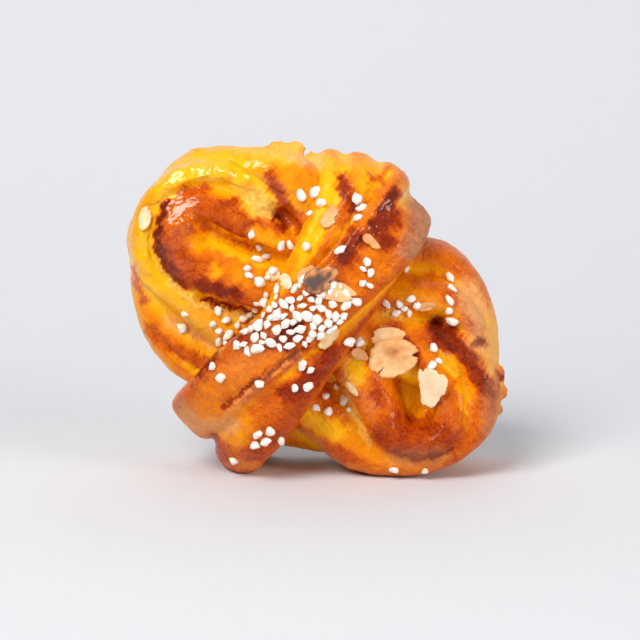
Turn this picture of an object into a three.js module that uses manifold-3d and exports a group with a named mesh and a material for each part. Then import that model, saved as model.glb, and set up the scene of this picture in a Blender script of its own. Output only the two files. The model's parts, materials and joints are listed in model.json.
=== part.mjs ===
// A saffron knot bun: one long strand of dough in two looped lobes, held by a belt that is wrapped
// round the middle. It was baked lying on its flat back and now stands on its edge, face to the front.
// Millimetres. X runs across the face, Z is up, and the face looks towards -Y.
// "Rise" is the height of a point above the flat baked back.

import * as THREE from "three";
import { mergeVertices } from "three/addons/utils/BufferGeometryUtils.js";
import Module from "manifold-3d";

const wasm = await Module();
wasm.setup();

// The whole bun
const BUN_DEPTH = 50; // from the baked back to the highest coil
const CENTRE_SHIFT = [1.45, 2.61]; // X and Y that bring the origin under the middle of the bun
const BACK_TRIM = 2.5; // dough pressed flat by the tray
const FOOT_TRIM = 0.8; // dough pressed flat by the surface that the bun stands on

// The dough strand
const SECTION_POWER = 2.4; // a squarish oval: 2 would be an ellipse
const STRAND_SIDES = 12;
const STRAND_PITCH = 6.8; // length of one step along a strand
const CAP_RINGS = 2; // rings of facets on each rounded end
const ARC_STEP = 30; // degrees between the stations of a turn
const CORE_FACETS = [14, 8]; // round and through each cushion of packed dough
const CORE_FLATNESS = 0.45; // power that flattens a ball into a cushion: 1 would be a ball

// The toppings
const SUGAR_SIZE = 3.1; // mean length of one pearl of sugar
const SUGAR_APART = 2.9; // least distance between the middles of two pearls
const SUGAR_SUNK = 0.24; // share of a pearl's height that is baked into the dough
const PEARL_LONG = [0.8, 0.5]; // least length and its spread, as shares of SUGAR_SIZE
const PEARL_HIGH = 0.31; // half height of a pearl, as a share of its length
const PEARL_WIDE = [0.33, 0.12]; // half width and its spread, as shares of its length
const PEARL_BLOCK = 1.6; // edge of the block that a pearl is squashed from
const PEARL_TRIES = 12; // draws for each pearl before its patch counts as full
const ROUGHNESS = [0.84, 0.3]; // least reach of an uneven corner and its spread
const FLAKE_THICK = 1.1;
const FLAKE_SIDES = 10;
const FLAKE_TAPER = 0.22; // how much narrower a flake gets towards its point
const FLAKE_PROUD = 0.2; // share of a flake's thickness by which its middle stands off the dough

// ---------------------------------------------------------------- dough strands

// Each coil comes in along a leg, turns round a hub on an oval arc and leaves along a second leg.
// rise, half (half width), thick (half thickness) and roll are given at the start, the turn and the end.
const COILS = {
  innerLeft: {
    legIn: [[-2.5, 71.5]],
    hub: [-34, 75.5],
    radii: [9, 8.5],
    arc: [85, 268],
    legOut: [[-6, 56.5]],
    rise: [28, 31, 30],
    half: [7, 8, 10],
    thick: [10, 12, 12],
    roll: [-14, 0, 16],
  },
  middleLeft: {
    legIn: [[-6, 75]],
    hub: [-33.5, 74.5],
    radii: [19.5, 18.5],
    arc: [70, 245],
    legOut: [[-18, 39.5]],
    rise: [25, 26, 28],
    half: [4, 5.5, 7.5],
    thick: [11, 12, 11],
    roll: [0, 0, 0],
  },
  outerLeft: {
    legIn: [[0, 75], [-6, 91.5]],
    hub: [-32, 66.5],
    radii: [21, 30.5],
    arc: [80, 245],
    legOut: [[-22, 30.5]],
    rise: [30, 19, 24],
    half: [8, 5.5, 8.5],
    thick: [11, 15, 13],
    roll: [0, 0, 0],
  },
  underLeft: {
    legIn: [[-3, 89]],
    hub: [-28, 63],
    radii: [25.5, 32.5],
    arc: [100, 255],
    legOut: [[-13, 21]],
    rise: [12, 12, 12],
    half: [6.5, 6.5, 6.5],
    thick: [12, 12, 12],
    roll: [0, 0, 0],
  },
  innerRight: {
    legIn: [[7, 47]],
    hub: [30, 22.5],
    radii: [11, 10.5],
    arc: [180, 378],
    legOut: [[23, 45]],
    rise: [28, 31, 28],
    half: [9.5, 6, 8.5],
    thick: [11, 12, 11],
    roll: [14, 0, -16],
  },
  middleRight: {
    legIn: [[8, 48]],
    hub: [26.5, 25],
    radii: [24.5, 18.5],
    arc: [88, -160],
    legOut: [[-9.5, 29]],
    rise: [26, 26, 22],
    half: [8, 5, 10.5],
    thick: [12, 13, 13],
    roll: [0, 0, 0],
  },
  upperRight: {
    legIn: [[13, 55]],
    hub: [32, 35.5],
    radii: [17.5, 21.5],
    arc: [98, -50],
    legOut: [[37, 10]],
    rise: [25, 21, 14],
    half: [8.5, 5.5, 5],
    thick: [12, 13, 12],
    roll: [0, 0, 0],
  },
  outerRight: {
    legIn: [[18, 67]],
    hub: [31.5, 38],
    radii: [20, 31],
    arc: [98, -100],
    legOut: [[-16, 14]],
    rise: [15, 14, 12],
    half: [5.5, 5.5, 6],
    thick: [13, 13, 12],
    roll: [0, 0, 0],
  },
};

// A wrapped strand keeps its width square to its heading, so it can pass over an edge of the bun.
// Each station is [x, z, rise, half width, half thickness]. "power" squares the section further.
const WRAPS = {
  pullLeft: {
    heading: 62,
    power: 3,
    stations: [
      [4, 85, 8, 6, 8],
      [2, 93, 22, 6, 9],
      [3, 90, 31, 5.5, 9],
      [1, 82, 35, 5, 9],
      [-5, 70, 37, 4, 9],
      [-13.5, 55, 36, 3.5, 9],
    ],
  },
  pullMiddle: {
    heading: 58,
    power: 3,
    stations: [
      [12, 85, 8, 7, 8],
      [10.5, 92, 22, 7, 9],
      [9.5, 88.5, 31, 6, 10],
      [6, 79.5, 36, 5.5, 10],
      [-1, 68.5, 38, 4, 10],
      [-10.5, 56, 36, 3.5, 9],
    ],
  },
  pullRight: {
    heading: 52,
    power: 3,
    stations: [
      [20, 82, 8, 7, 8],
      [19, 89, 22, 7, 9],
      [17, 85.5, 31, 6, 10],
      [11, 77, 36, 5, 10],
      [2.5, 68, 38, 4, 10],
      [-6, 58, 36, 3.5, 9],
    ],
  },
  tail: {
    heading: 49,
    stations: [
      [19, 61.5, 34, 3, 7],
      [9.5, 50.5, 38, 4, 8],
      [-1, 38, 40, 5.5, 9],
      [-11.5, 26.5, 39, 8, 9],
      [-19.5, 17, 35, 9, 9],
      [-24, 10, 27, 8.5, 8],
      [-24.5, 6, 17, 7.5, 8],
      [-21, 6.5, 6, 6.5, 8],
    ],
  },
  belt: {
    heading: 45,
    closed: true,
    power: 3.4,
    stations: [
      [7, 63.5, 41, 10, 9],
      [-9, 48.5, 42, 9.5, 9],
      [-24.5, 34.5, 39, 9.5, 9],
      [-35, 23.5, 29, 9, 8],
      [-37.5, 19.5, 16, 8.5, 7],
      [-32, 21, 5, 9, 7],
      [-6.5, 46.5, 3, 9, 6],
      [18.5, 73, 5, 9, 7],
      [24, 81.5, 16, 10, 7],
      [22.5, 80, 29, 10.5, 8],
      [17.5, 74, 38, 10.5, 9],
    ],
  },
};

// Packed dough behind the loops, one cushion in each lobe and one in the middle.
const CORES = [
  { at: [-27, 64], rise: 16.5, radii: [26, 13.6, 30] },
  { at: [27, 34], rise: 16.5, radii: [26, 13.4, 27] },
  { at: [0, 52], rise: 18, radii: [24, 14, 33] },
];

// Lumps of torn crumb: the knob on the upper edge and the end that shows beside the left loop.
const KNOB_SEED = 11;
const KNOBS = [
  { at: [-13, 100.5], rise: 22, radii: [5.5, 5, 4] },
  { at: [-9, 101], rise: 24, radii: [4, 4.5, 3] },
  { at: [-18.5, 86], rise: 34, radii: [3.6, 3, 3.2] },
];

// Patches of pearl sugar on the face: middle, half length, half width, lean in degrees, count.
const SUGAR_SEED = 5;
const SUGAR_PATCHES = [
  { at: [-6.5, 54.5], spread: [15.5, 9], lean: 22, count: 32 },
  { at: [-21, 47], spread: [5.5, 4.5], lean: 0, count: 9 },
  { at: [-29.5, 48.5], spread: [3, 6], lean: 0, count: 7 },
  { at: [-19, 65.5], spread: [5, 5.5], lean: 0, count: 5 },
  { at: [25, 55.5], spread: [5, 3], lean: 0, count: 7 },
  { at: [13.5, 66], spread: [1.5, 4], lean: 0, count: 3 },
  { at: [-16, 15.5], spread: [4.5, 3], lean: 0, count: 5 },
  { at: [-26.5, 7.5], spread: [0.5, 0.5], lean: 0, count: 1 },
  { at: [-6.5, 34.5], spread: [4.5, 6], lean: 0, count: 4 },
  { at: [-17.5, 32.5], spread: [1, 1], lean: 0, count: 1 },
  { at: [10.5, 59], spread: [1, 1], lean: 0, count: 1 },
  { at: [4, 25], spread: [6, 6.5], lean: 0, count: 5 },
  { at: [40.5, 56.5], spread: [3, 7], lean: 0, count: 4 },
  { at: [26.5, 65], spread: [2, 0.5], lean: 0, count: 2 },
  { at: [-7, 74], spread: [6.5, 1], lean: 0, count: 3 },
  { at: [7, 73], spread: [1, 1], lean: 0, count: 1 },
  { at: [-3.5, 85], spread: [4.5, 5], lean: 0, count: 4 },
  { at: [11, 85], spread: [6.5, 4], lean: 0, count: 3 },
  { at: [10, 45], spread: [3, 1], lean: 0, count: 2 },
  { at: [35.5, 39.5], spread: [3, 4], lean: 0, count: 2 },
  { at: [23, 4], spread: [12, 0.5], lean: 0, count: 2 },
  { at: [-41.5, 49], spread: [5, 10], lean: -30, count: 2 },
  { at: [-22, 75], spread: [6, 4], lean: 30, count: 2 },
  { at: [-30.5, 36.5], spread: [3, 1.5], lean: -45, count: 2 },
];

// Almond flakes: middle, length and width, spin in degrees, curl at the ends and lift off the dough.
const FLAKES = {
  cracked: { at: [22, 40], size: [14, 10.5], spin: 20, curl: 0.8, lift: 0.8 },
  behindCracked: { at: [20.5, 46], size: [10.5, 5.5], spin: 8, lift: 0.3 },
  pale: { at: [33.5, 31.5], size: [11, 8.5], spin: 80 },
  sliver: { at: [10, 30], size: [5, 2.6], spin: -38 },
  onBelt: { at: [5.5, 61], size: [10.5, 5.5], spin: -10, lift: 0.4 },
  toasted: { at: [0, 65], size: [10, 6.5], spin: 30, lift: 0.6 },
  besideToasted: { at: [-4, 66], size: [6.5, 4], spin: 40 },
  lowOnBelt: { at: [2.5, 47.5], size: [8, 6], spin: 35 },
  onPull: { at: [3, 82.5], size: [6, 5], spin: 60 },
  highOnBelt: { at: [15, 75.5], size: [5.5, 3.5], spin: 20 },
  onShoulder: { at: [32.5, 55], size: [6, 3], spin: 5 },
  belowBelt: { at: [12, 40.5], size: [5.5, 3.5], spin: -25 },
  inLoop: { at: [-14, 65], size: [4.5, 4], spin: 0 },
  besidePull: { at: [-10, 63.5], size: [5.5, 4], spin: -50 },
  farLeft: { at: [-52.5, 82], size: [6, 3.6], spin: 80 },
};

// A repeatable draw of numbers from 0 to 1.
function seededDraw(seed) {
  let state = seed;
  return () => {
    state = (state * 1664525 + 1013904223) % 4294967296;
    return state / 4294967296;
  };
}

// A closed shape with uneven corners.
function roughened(geometry, radii, draw) {
  const [least, more] = ROUGHNESS;
  geometry.deleteAttribute("normal");
  geometry.deleteAttribute("uv");
  const joined = mergeVertices(geometry, 1e-4);
  return reshape(joined, (v) => v.clone().multiplyScalar(least + more * draw())).scale(...radii);
}

// A point of the bun from its place on the face and its rise above the back.
function point(x, z, rise) {
  return new THREE.Vector3(x, BUN_DEPTH / 2 - rise, z);
}

// A smooth course through three values, along t from 0 to 1.
function threeStage([start, turn, end], t) {
  const ease = (u) => THREE.MathUtils.smoothstep(u, 0, 1);
  return t < 0.5
    ? THREE.MathUtils.lerp(start, turn, ease(2 * t))
    : THREE.MathUtils.lerp(turn, end, ease(2 * t - 1));
}

// The places of a coil on the face: leg, arc, leg.
function coilPlaces({ legIn, hub, radii, arc, legOut }) {
  const spans = Math.ceil(Math.abs(arc[1] - arc[0]) / ARC_STEP);
  const turn = [];
  for (let i = 0; i <= spans; i++) {
    const angle = THREE.MathUtils.degToRad(THREE.MathUtils.lerp(arc[0], arc[1], i / spans));
    turn.push([hub[0] + radii[0] * Math.cos(angle), hub[1] + radii[1] * Math.sin(angle)]);
  }
  return [...legIn, ...turn, ...legOut];
}

// The stations of a coil, with its sizes spread along its length.
function coilStations(coil) {
  const places = coilPlaces(coil);
  const reach = [0];
  for (let i = 1; i < places.length; i++) {
    const [x0, z0] = places[i - 1];
    const [x1, z1] = places[i];
    reach.push(reach[i - 1] + Math.hypot(x1 - x0, z1 - z0));
  }
  return places.map(([x, z], i) => {
    const t = reach[i] / reach[reach.length - 1];
    return {
      centre: point(x, z, threeStage(coil.rise, t)),
      size: new THREE.Vector3(
        threeStage(coil.half, t),
        threeStage(coil.thick, t),
        threeStage(coil.roll, t),
      ),
    };
  });
}

function wrapStations({ stations }) {
  return stations.map(([x, z, rise, half, thick]) => ({
    centre: point(x, z, rise),
    size: new THREE.Vector3(half, thick, 0),
  }));
}

// The course of a strand: centre line, sizes, and the two directions across it at any t.
function strandCourse(stations, closed, heading) {
  const line = new THREE.CatmullRomCurve3(stations.map((s) => s.centre), closed, "centripetal");
  const sizes = new THREE.CatmullRomCurve3(stations.map((s) => s.size), closed, "catmullrom", 0.5);
  const front = new THREE.Vector3(0, -1, 0);
  const turn = THREE.MathUtils.degToRad(heading ?? 0);
  const axle = new THREE.Vector3(Math.sin(turn), 0, -Math.cos(turn));

  const stationAt = (u) => {
    const t = line.getUtoTmapping(u);
    const tangent = line.getTangent(t);
    const side = heading === undefined
      ? new THREE.Vector3().crossVectors(tangent, front)
      : axle.clone().addScaledVector(tangent, -axle.dot(tangent));
    side.normalize();
    const out = new THREE.Vector3().crossVectors(side, tangent);
    const size = sizes.getPoint(t);
    const roll = THREE.MathUtils.degToRad(size.z);
    side.applyAxisAngle(tangent, roll);
    out.applyAxisAngle(tangent, roll);
    return { centre: line.getPoint(t), tangent, side, out, half: size.x, thick: size.y };
  };
  return { line, stationAt };
}

// One coordinate of a squarish oval section.
function squared(value, power) {
  return Math.sign(value) * Math.abs(value) ** (2 / power);
}

// A point of a strand's skin, at an angle round it, and past its end by "over" half thicknesses.
function skinPoint(station, angle, girth, over, power) {
  return station.centre
    .clone()
    .addScaledVector(station.side, squared(Math.cos(angle), power) * station.half * girth)
    .addScaledVector(station.out, squared(Math.sin(angle), power) * station.thick * girth)
    .addScaledVector(station.tangent, over * station.thick);
}

// Moves each vertex of a geometry by a rule.
function reshape(geometry, rule) {
  const position = geometry.getAttribute("position");
  const vertex = new THREE.Vector3();
  for (let i = 0; i < position.count; i++) {
    vertex.fromBufferAttribute(position, i);
    const moved = rule(vertex);
    position.setXYZ(i, moved.x, moved.y, moved.z);
  }
  return geometry;
}

// An open strand is a capsule bent along its course, and a closed one is a ring.
function strandGeometry(stations, { closed = false, heading, power = SECTION_POWER } = {}) {
  const { line, stationAt } = strandCourse(stations, closed, heading);
  const steps = Math.round(line.getLength() / STRAND_PITCH);
  if (closed) {
    const ring = new THREE.TorusGeometry(2, 1, STRAND_SIDES, steps);
    return reshape(ring, (v) => {
      const u = (Math.atan2(v.y, v.x) / (2 * Math.PI) + 1) % 1;
      const angle = Math.atan2(v.z, Math.hypot(v.x, v.y) - 2);
      return skinPoint(stationAt(u), angle, 1, 0, power);
    });
  }
  const capsule = new THREE.CapsuleGeometry(1, 1, CAP_RINGS, STRAND_SIDES, steps);
  return reshape(capsule, (v) => {
    const u = THREE.MathUtils.clamp(v.y + 0.5, 0, 1);
    const angle = Math.atan2(v.z, v.x);
    return skinPoint(stationAt(u), angle, Math.hypot(v.x, v.z), v.y + 0.5 - u, power);
  });
}

// A ball flattened towards its front and back.
function cushionGeometry(radii) {
  const ball = new THREE.SphereGeometry(1, ...CORE_FACETS).rotateX(Math.PI / 2);
  const cushion = reshape(ball, (v) => {
    const deep = Math.sign(v.y) * Math.abs(v.y) ** CORE_FLATNESS;
    return new THREE.Vector3(v.x, Math.abs(v.y) < 1e-6 ? 0 : deep, v.z);
  });
  return cushion.scale(...radii);
}

// ---------------------------------------------------------------- solids

// A closed solid from a geometry: shared vertices merged, flat slivers dropped, faces outwards.
function solidFrom(geometry) {
  const bare = geometry.clone();
  bare.deleteAttribute("normal");
  bare.deleteAttribute("uv");
  const merged = mergeVertices(bare, 1e-4);
  const index = merged.index.array;
  const corners = [];
  for (let i = 0; i < index.length; i += 3) {
    const [a, b, c] = [index[i], index[i + 1], index[i + 2]];
    if (a !== b && b !== c && c !== a) corners.push(a, b, c);
  }
  const vertProperties = new Float32Array(merged.attributes.position.array);
  const closed = (order) =>
    new wasm.Manifold(
      new wasm.Mesh({ numProp: 3, vertProperties, triVerts: new Uint32Array(order) }),
    );
  const solid = closed(corners);
  return solid.volume() > 0 ? solid : closed(corners.reverse());
}

function geometryFrom(solid) {
  const mesh = solid.getMesh();
  const geometry = new THREE.BufferGeometry();
  geometry.setAttribute("position", new THREE.BufferAttribute(mesh.vertProperties, 3));
  geometry.setIndex(new THREE.BufferAttribute(mesh.triVerts, 1));
  return geometry;
}

function largestBody(solid) {
  return solid.decompose().sort((a, b) => b.volume() - a.volume())[0];
}

function doughSolid() {
  const pieces = [];
  for (const coil of Object.values(COILS)) {
    pieces.push(solidFrom(strandGeometry(coilStations(coil))));
  }
  for (const wrap of Object.values(WRAPS)) {
    pieces.push(solidFrom(strandGeometry(wrapStations(wrap), wrap)));
  }
  for (const { at, rise, radii } of CORES) {
    pieces.push(solidFrom(cushionGeometry(radii).translate(...point(...at, rise))));
  }
  const draw = seededDraw(KNOB_SEED);
  for (const { at, rise, radii } of KNOBS) {
    const ball = roughened(new THREE.IcosahedronGeometry(1, 1), radii, draw);
    pieces.push(solidFrom(ball.translate(...point(...at, rise))));
  }
  return wasm.Manifold.union(pieces);
}

// Cuts away what the tray and the standing surface have pressed flat.
function pressedFlat(solid) {
  const size = 4 * BUN_DEPTH; // well past the bun on every side
  const tray = new THREE.BoxGeometry(size, size, size);
  tray.translate(0, BUN_DEPTH / 2 - BACK_TRIM + size / 2, 0);
  const table = new THREE.BoxGeometry(size, size, size);
  table.translate(0, 0, FOOT_TRIM - size / 2);
  return solid.subtract(solidFrom(tray)).subtract(solidFrom(table));
}

// ---------------------------------------------------------------- toppings

// The dough seen from the front: the place on its skin at x and z, or nothing beside it.
function frontHit(dough, x, z) {
  const from = new THREE.Vector3(x, -2 * BUN_DEPTH, z);
  const [hit] = new THREE.Raycaster(from, new THREE.Vector3(0, 1, 0)).intersectObject(dough);
  return hit?.point;
}

// How a topping of that reach lies on the dough: its middle, the way out of the dough, and the turn
// that brings its own X to the right and its own Y straight out.
function restingPlace(dough, [x, z], reach) {
  const middle = frontHit(dough, x, z);
  const [left, right, low, high] = [
    frontHit(dough, x - reach, z) ?? middle,
    frontHit(dough, x + reach, z) ?? middle,
    frontHit(dough, x, z - reach) ?? middle,
    frontHit(dough, x, z + reach) ?? middle,
  ];
  if (!middle) return undefined;
  const out = new THREE.Vector3()
    .subVectors(right, left)
    .cross(new THREE.Vector3().subVectors(high, low))
    .normalize();
  const across = new THREE.Vector3(1, 0, 0).addScaledVector(out, -out.x).normalize();
  const turn = new THREE.Matrix4().makeBasis(across, out, across.clone().cross(out));
  return { middle, out, turn };
}

// Lays a topping that was made round the origin, flat in XZ, on its place.
function laid(geometry, { middle, out, turn }, spin, lift) {
  geometry.rotateY(THREE.MathUtils.degToRad(spin));
  geometry.applyMatrix4(turn);
  const centre = middle.clone().addScaledVector(out, lift);
  return solidFrom(geometry.translate(...centre));
}

// The places of the pearls of one patch, kept apart so that no two fill the same spot.
function pearlPlaces({ at, spread, lean, count }, taken, draw) {
  const turn = THREE.MathUtils.degToRad(lean);
  const places = [];
  for (let tries = 0; tries < count * PEARL_TRIES && places.length < count; tries++) {
    const far = Math.sqrt(draw());
    const angle = 2 * Math.PI * draw();
    const along = spread[0] * far * Math.cos(angle);
    const across = spread[1] * far * Math.sin(angle);
    const x = at[0] + along * Math.cos(turn) - across * Math.sin(turn);
    const z = at[1] + along * Math.sin(turn) + across * Math.cos(turn);
    if (taken.some(([tx, tz]) => Math.hypot(tx - x, tz - z) < SUGAR_APART)) continue;
    places.push([x, z]);
    taken.push([x, z]);
  }
  return places;
}

function sugarSolids(dough) {
  const draw = seededDraw(SUGAR_SEED);
  const taken = [];
  const pearls = [];
  for (const patch of SUGAR_PATCHES) {
    for (const place of pearlPlaces(patch, taken, draw)) {
      const long = SUGAR_SIZE * (PEARL_LONG[0] + PEARL_LONG[1] * draw());
      const high = long * PEARL_HIGH;
      const wide = long * (PEARL_WIDE[0] + PEARL_WIDE[1] * draw());
      const rest = restingPlace(dough, place, SUGAR_SIZE / 2);
      const block = new THREE.BoxGeometry(PEARL_BLOCK, PEARL_BLOCK, PEARL_BLOCK);
      const pearl = roughened(block, [long / 2, high, wide], draw);
      const lift = high * (1 - 2 * SUGAR_SUNK);
      if (rest) pearls.push(laid(pearl, rest, 360 * draw(), lift));
    }
  }
  return pearls;
}

// A flake is a thin almond slice: pointed at one end and curled a little.
function flakeGeometry([long, wide], curl) {
  const disc = new THREE.CylinderGeometry(1, 1, FLAKE_THICK, FLAKE_SIDES, 1);
  return reshape(disc, (v) => new THREE.Vector3(
    v.x * long / 2,
    v.y + curl * v.x * v.x,
    v.z * wide / 2 * (1 - FLAKE_TAPER * v.x),
  ));
}

function flakeSolids(dough) {
  return Object.values(FLAKES).map(({ at, size, spin, curl = 0.5, lift = 0 }) => {
    const rest = restingPlace(dough, at, Math.min(...size) / 3);
    return laid(flakeGeometry(size, curl), rest, spin, FLAKE_THICK * FLAKE_PROUD + lift);
  });
}

const doughMaterial = new THREE.MeshStandardMaterial({
  color: 0xd9791a,
  roughness: 0.45,
  metalness: 0,
});

const bareDough = largestBody(pressedFlat(doughSolid()));
const doughMesh = new THREE.Mesh(geometryFrom(bareDough), doughMaterial);
const dressed = wasm.Manifold.union([bareDough, ...sugarSolids(doughMesh), ...flakeSolids(doughMesh)]);

const bun = new THREE.Mesh(geometryFrom(largestBody(dressed)), doughMaterial);
bun.name = "bun";
bun.position.set(CENTRE_SHIFT[0], CENTRE_SHIFT[1], -FOOT_TRIM);

const part = new THREE.Group();
part.add(bun);

export default part;
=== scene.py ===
import json
import math

import bmesh
import bpy
import numpy as np
from mathutils import Matrix, Vector, noise
from mathutils.bvhtree import BVHTree

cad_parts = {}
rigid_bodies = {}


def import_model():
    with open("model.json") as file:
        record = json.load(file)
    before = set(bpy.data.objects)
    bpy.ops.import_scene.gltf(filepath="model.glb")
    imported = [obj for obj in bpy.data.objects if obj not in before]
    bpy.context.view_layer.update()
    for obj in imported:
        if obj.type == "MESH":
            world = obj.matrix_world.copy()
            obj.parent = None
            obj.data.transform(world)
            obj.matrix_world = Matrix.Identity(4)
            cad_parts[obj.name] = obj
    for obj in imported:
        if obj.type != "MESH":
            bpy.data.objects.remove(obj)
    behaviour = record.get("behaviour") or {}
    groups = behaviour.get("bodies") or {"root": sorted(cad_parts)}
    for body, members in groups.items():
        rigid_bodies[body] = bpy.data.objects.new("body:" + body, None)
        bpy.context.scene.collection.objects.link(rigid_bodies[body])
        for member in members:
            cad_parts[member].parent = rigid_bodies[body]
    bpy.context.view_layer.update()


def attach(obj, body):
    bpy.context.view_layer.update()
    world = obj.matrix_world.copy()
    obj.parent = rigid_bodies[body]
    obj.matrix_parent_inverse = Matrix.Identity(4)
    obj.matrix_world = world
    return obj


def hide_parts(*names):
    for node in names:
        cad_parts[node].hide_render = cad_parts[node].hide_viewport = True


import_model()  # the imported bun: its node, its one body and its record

# A saffron knot bun on its edge. X runs across its face, Z is up and the face looks towards -Y.
# Sizes below are in millimetres and are turned into metres by place() or by mm.
mm = 0.001

bun = {
    "depth": 50,  # from the baked back to the highest coil
    "shift": (1.45, 2.61),  # X and Y that bring the origin under the middle of the bun
    "backTrim": 2.5,  # dough pressed flat by the tray
    "footTrim": 0.8,  # dough pressed flat by the surface that it stands on
    "sectionPower": 2.4,  # a squarish oval: 2 would be an ellipse
    "arcStep": 30,  # degrees between the stations of a turn
}
coarser = 1


def place(x, z, rise):
    # a point in metres from its place on the face and its rise above the baked back
    shiftX, shiftY = bun["shift"]
    y = bun["depth"] / 2 - np.asarray(rise) + shiftY
    return np.stack(np.broadcast_arrays(np.add(x, shiftX), y, np.subtract(z, bun["footTrim"])), -1) * mm


def faceOf(points):
    # the inverse of place(): x, z and rise in millimetres of points in metres
    shiftX, shiftY = bun["shift"]
    spots = np.asarray(points) / mm
    return spots[:, 0] - shiftX, spots[:, 2] + bun["footTrim"], bun["depth"] / 2 - spots[:, 1] + shiftY


def smoothStep(low, high, values):
    share = np.clip((np.asarray(values, float) - low) / (high - low), 0, 1)
    return share * share * (3 - 2 * share)


def seededDraw(seed):
    # a repeatable draw of numbers from 0 to 1, the same one that laid out the solid's toppings
    state = seed
    while True:
        state = (state * 1664525 + 1013904223) % 4294967296
        yield state / 4294967296


# node trees: sums are written as Python, and every other node comes from Bench.node. The scales of noise
# are in waves for each metre

class Wire:
    def __init__(self, socket):
        self.socket = socket

    def of(self, name):
        return Wire(socketNamed(self.socket.node.outputs, name))

    def sum(self, operation, *terms):
        node = self.socket.id_data.nodes.new("ShaderNodeMath")
        node.operation = operation
        for socket, term in zip(node.inputs, terms):
            plug(socket, term)
        return Wire(node.outputs[0])

    __add__ = lambda self, other: self.sum("ADD", self, other)
    __radd__ = lambda self, other: self.sum("ADD", other, self)
    __sub__ = lambda self, other: self.sum("SUBTRACT", self, other)
    __rsub__ = lambda self, other: self.sum("SUBTRACT", other, self)
    __mul__ = lambda self, other: self.sum("MULTIPLY", self, other)
    __rmul__ = lambda self, other: self.sum("MULTIPLY", other, self)
    __truediv__ = lambda self, other: self.sum("DIVIDE", self, other)
    __rtruediv__ = lambda self, other: self.sum("DIVIDE", other, self)
    __pow__ = lambda self, other: self.sum("POWER", self, other)
    least = lambda self, other: self.sum("MINIMUM", self, other)
    most = lambda self, other: self.sum("MAXIMUM", self, other)

    def one(self, operation):
        return self.sum(operation, self)


def socketNamed(sockets, name):
    wanted = name.replace("_", " ")
    return next(socket for socket in sockets if socket.enabled and socket.name == wanted)


def plug(socket, value):
    if isinstance(value, Wire):
        socket.id_data.links.new(value.socket, socket)
    elif value is not None:
        if socket.type == "RGBA" and len(value) == 3:
            value = (*value, 1)
        socket.default_value = value


class Bench:
    def __init__(self, tree):
        self.tree = tree

    def node(self, kind, settings=None, *ordered, **named):
        made = self.tree.nodes.new(kind)
        for key, value in (settings or {}).items():
            setattr(made, key, value)
        for socket, value in zip([s for s in made.inputs if s.enabled], ordered):
            plug(socket, value)
        for name, value in named.items():
            plug(socketNamed(made.inputs, name), value)
        shown = [socket for socket in made.outputs if socket.enabled]
        return Wire(shown[0]) if shown else made

    # shorthands for the nodes that come up again and again
    def noise(self, vector, scale, detail=2, roughness=0.5):
        return self.node("ShaderNodeTexNoise", None, Vector=vector, Scale=scale, Detail=detail,
                         Roughness=roughness)

    def ramp(self, value, low, high):
        return self.node("ShaderNodeMapRange", {"interpolation_type": "SMOOTHSTEP"}, value, low, high)

    def blend(self, share, first, second):
        return self.node("ShaderNodeMix", {"data_type": "RGBA"}, share, first, second)

    def vector(self, operation, *terms):
        return self.node("ShaderNodeVectorMath", {"operation": operation}, *terms)

    def scaled(self, vector, share):
        return self.vector("SCALE", vector, share)

    def carried(self, name, kind="FLOAT"):
        return self.node("GeometryNodeInputNamedAttribute", {"data_type": kind}, name)

    def stored(self, shape, name, kind, value):
        return self.node("GeometryNodeStoreNamedAttribute", {"data_type": kind, "domain": "POINT"},
                         Geometry=shape, Name=name, Value=value)

    def attribute(self, name, output="Fac"):
        return self.node("ShaderNodeAttribute", {"attribute_name": name}).of(output)

    def spot(self):
        return self.node("ShaderNodeTexCoord").of("Object")

    def bump(self, height, strength, distance):
        return self.node("ShaderNodeBump", None, Strength=strength, Distance=distance, Height=height)

    def colours(self, value, stops):
        made = self.node("ShaderNodeValToRGB", None, value)
        elements = made.socket.node.color_ramp.elements
        while len(elements) < len(stops):
            elements.new(1)
        for element, (position, colour) in zip(elements, stops):
            element.position = position
            element.color = (*colour, 1)
        return made


def newTree(name, **inputs):
    # a tree with these inputs: the kind of socket and the names of its kind
    tree = bpy.data.node_groups.new(name, "GeometryNodeTree")
    sockets = [("Geometry", "Geometry")] + [(label, kind) for kind, labels in inputs.items()
                                            for label in labels.split()]
    for label, kind in sockets:
        tree.interface.new_socket(label, in_out="INPUT", socket_type="NodeSocket" + kind)
    tree.interface.new_socket("Geometry", in_out="OUTPUT", socket_type="NodeSocketGeometry")
    bench = Bench(tree)
    return bench, bench.node("NodeGroupInput")


def closeTree(bench, shape, material):
    whole = bench.node("GeometryNodeRealizeInstances", None, shape)
    coated = bench.node("GeometryNodeSetMaterial", None, Geometry=whole, Material=material)
    bench.node("NodeGroupOutput", None, coated)
    return bench.tree


def runTree(thing, tree, **values):
    # gives the thing the tree with these inputs, and keeps the result as its plain mesh
    step = thing.modifiers.new(tree.name, "NODES")
    step.node_group = tree
    sockets = {item.name: item.identifier for item in tree.interface.items_tree if item.in_out == "INPUT"}
    for name, value in values.items():
        step[sockets[name.replace("_", " ")]] = value
    settle(thing)


def settle(thing):
    view = bpy.context.evaluated_depsgraph_get()
    mesh = bpy.data.meshes.new_from_object(thing.evaluated_get(view), depsgraph=view)
    thing.modifiers.clear()
    spent = thing.data
    thing.data = mesh
    bpy.data.meshes.remove(spent)


# meshes and their attributes

def added(name, content):
    thing = bpy.data.objects.new(name, content)
    bpy.context.scene.collection.objects.link(thing)
    return thing


def newThing(name, points, edges=(), faces=()):
    mesh = bpy.data.meshes.new(name)
    mesh.from_pydata([tuple(p) for p in points], list(edges), list(faces))
    return added(name, mesh)


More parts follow.
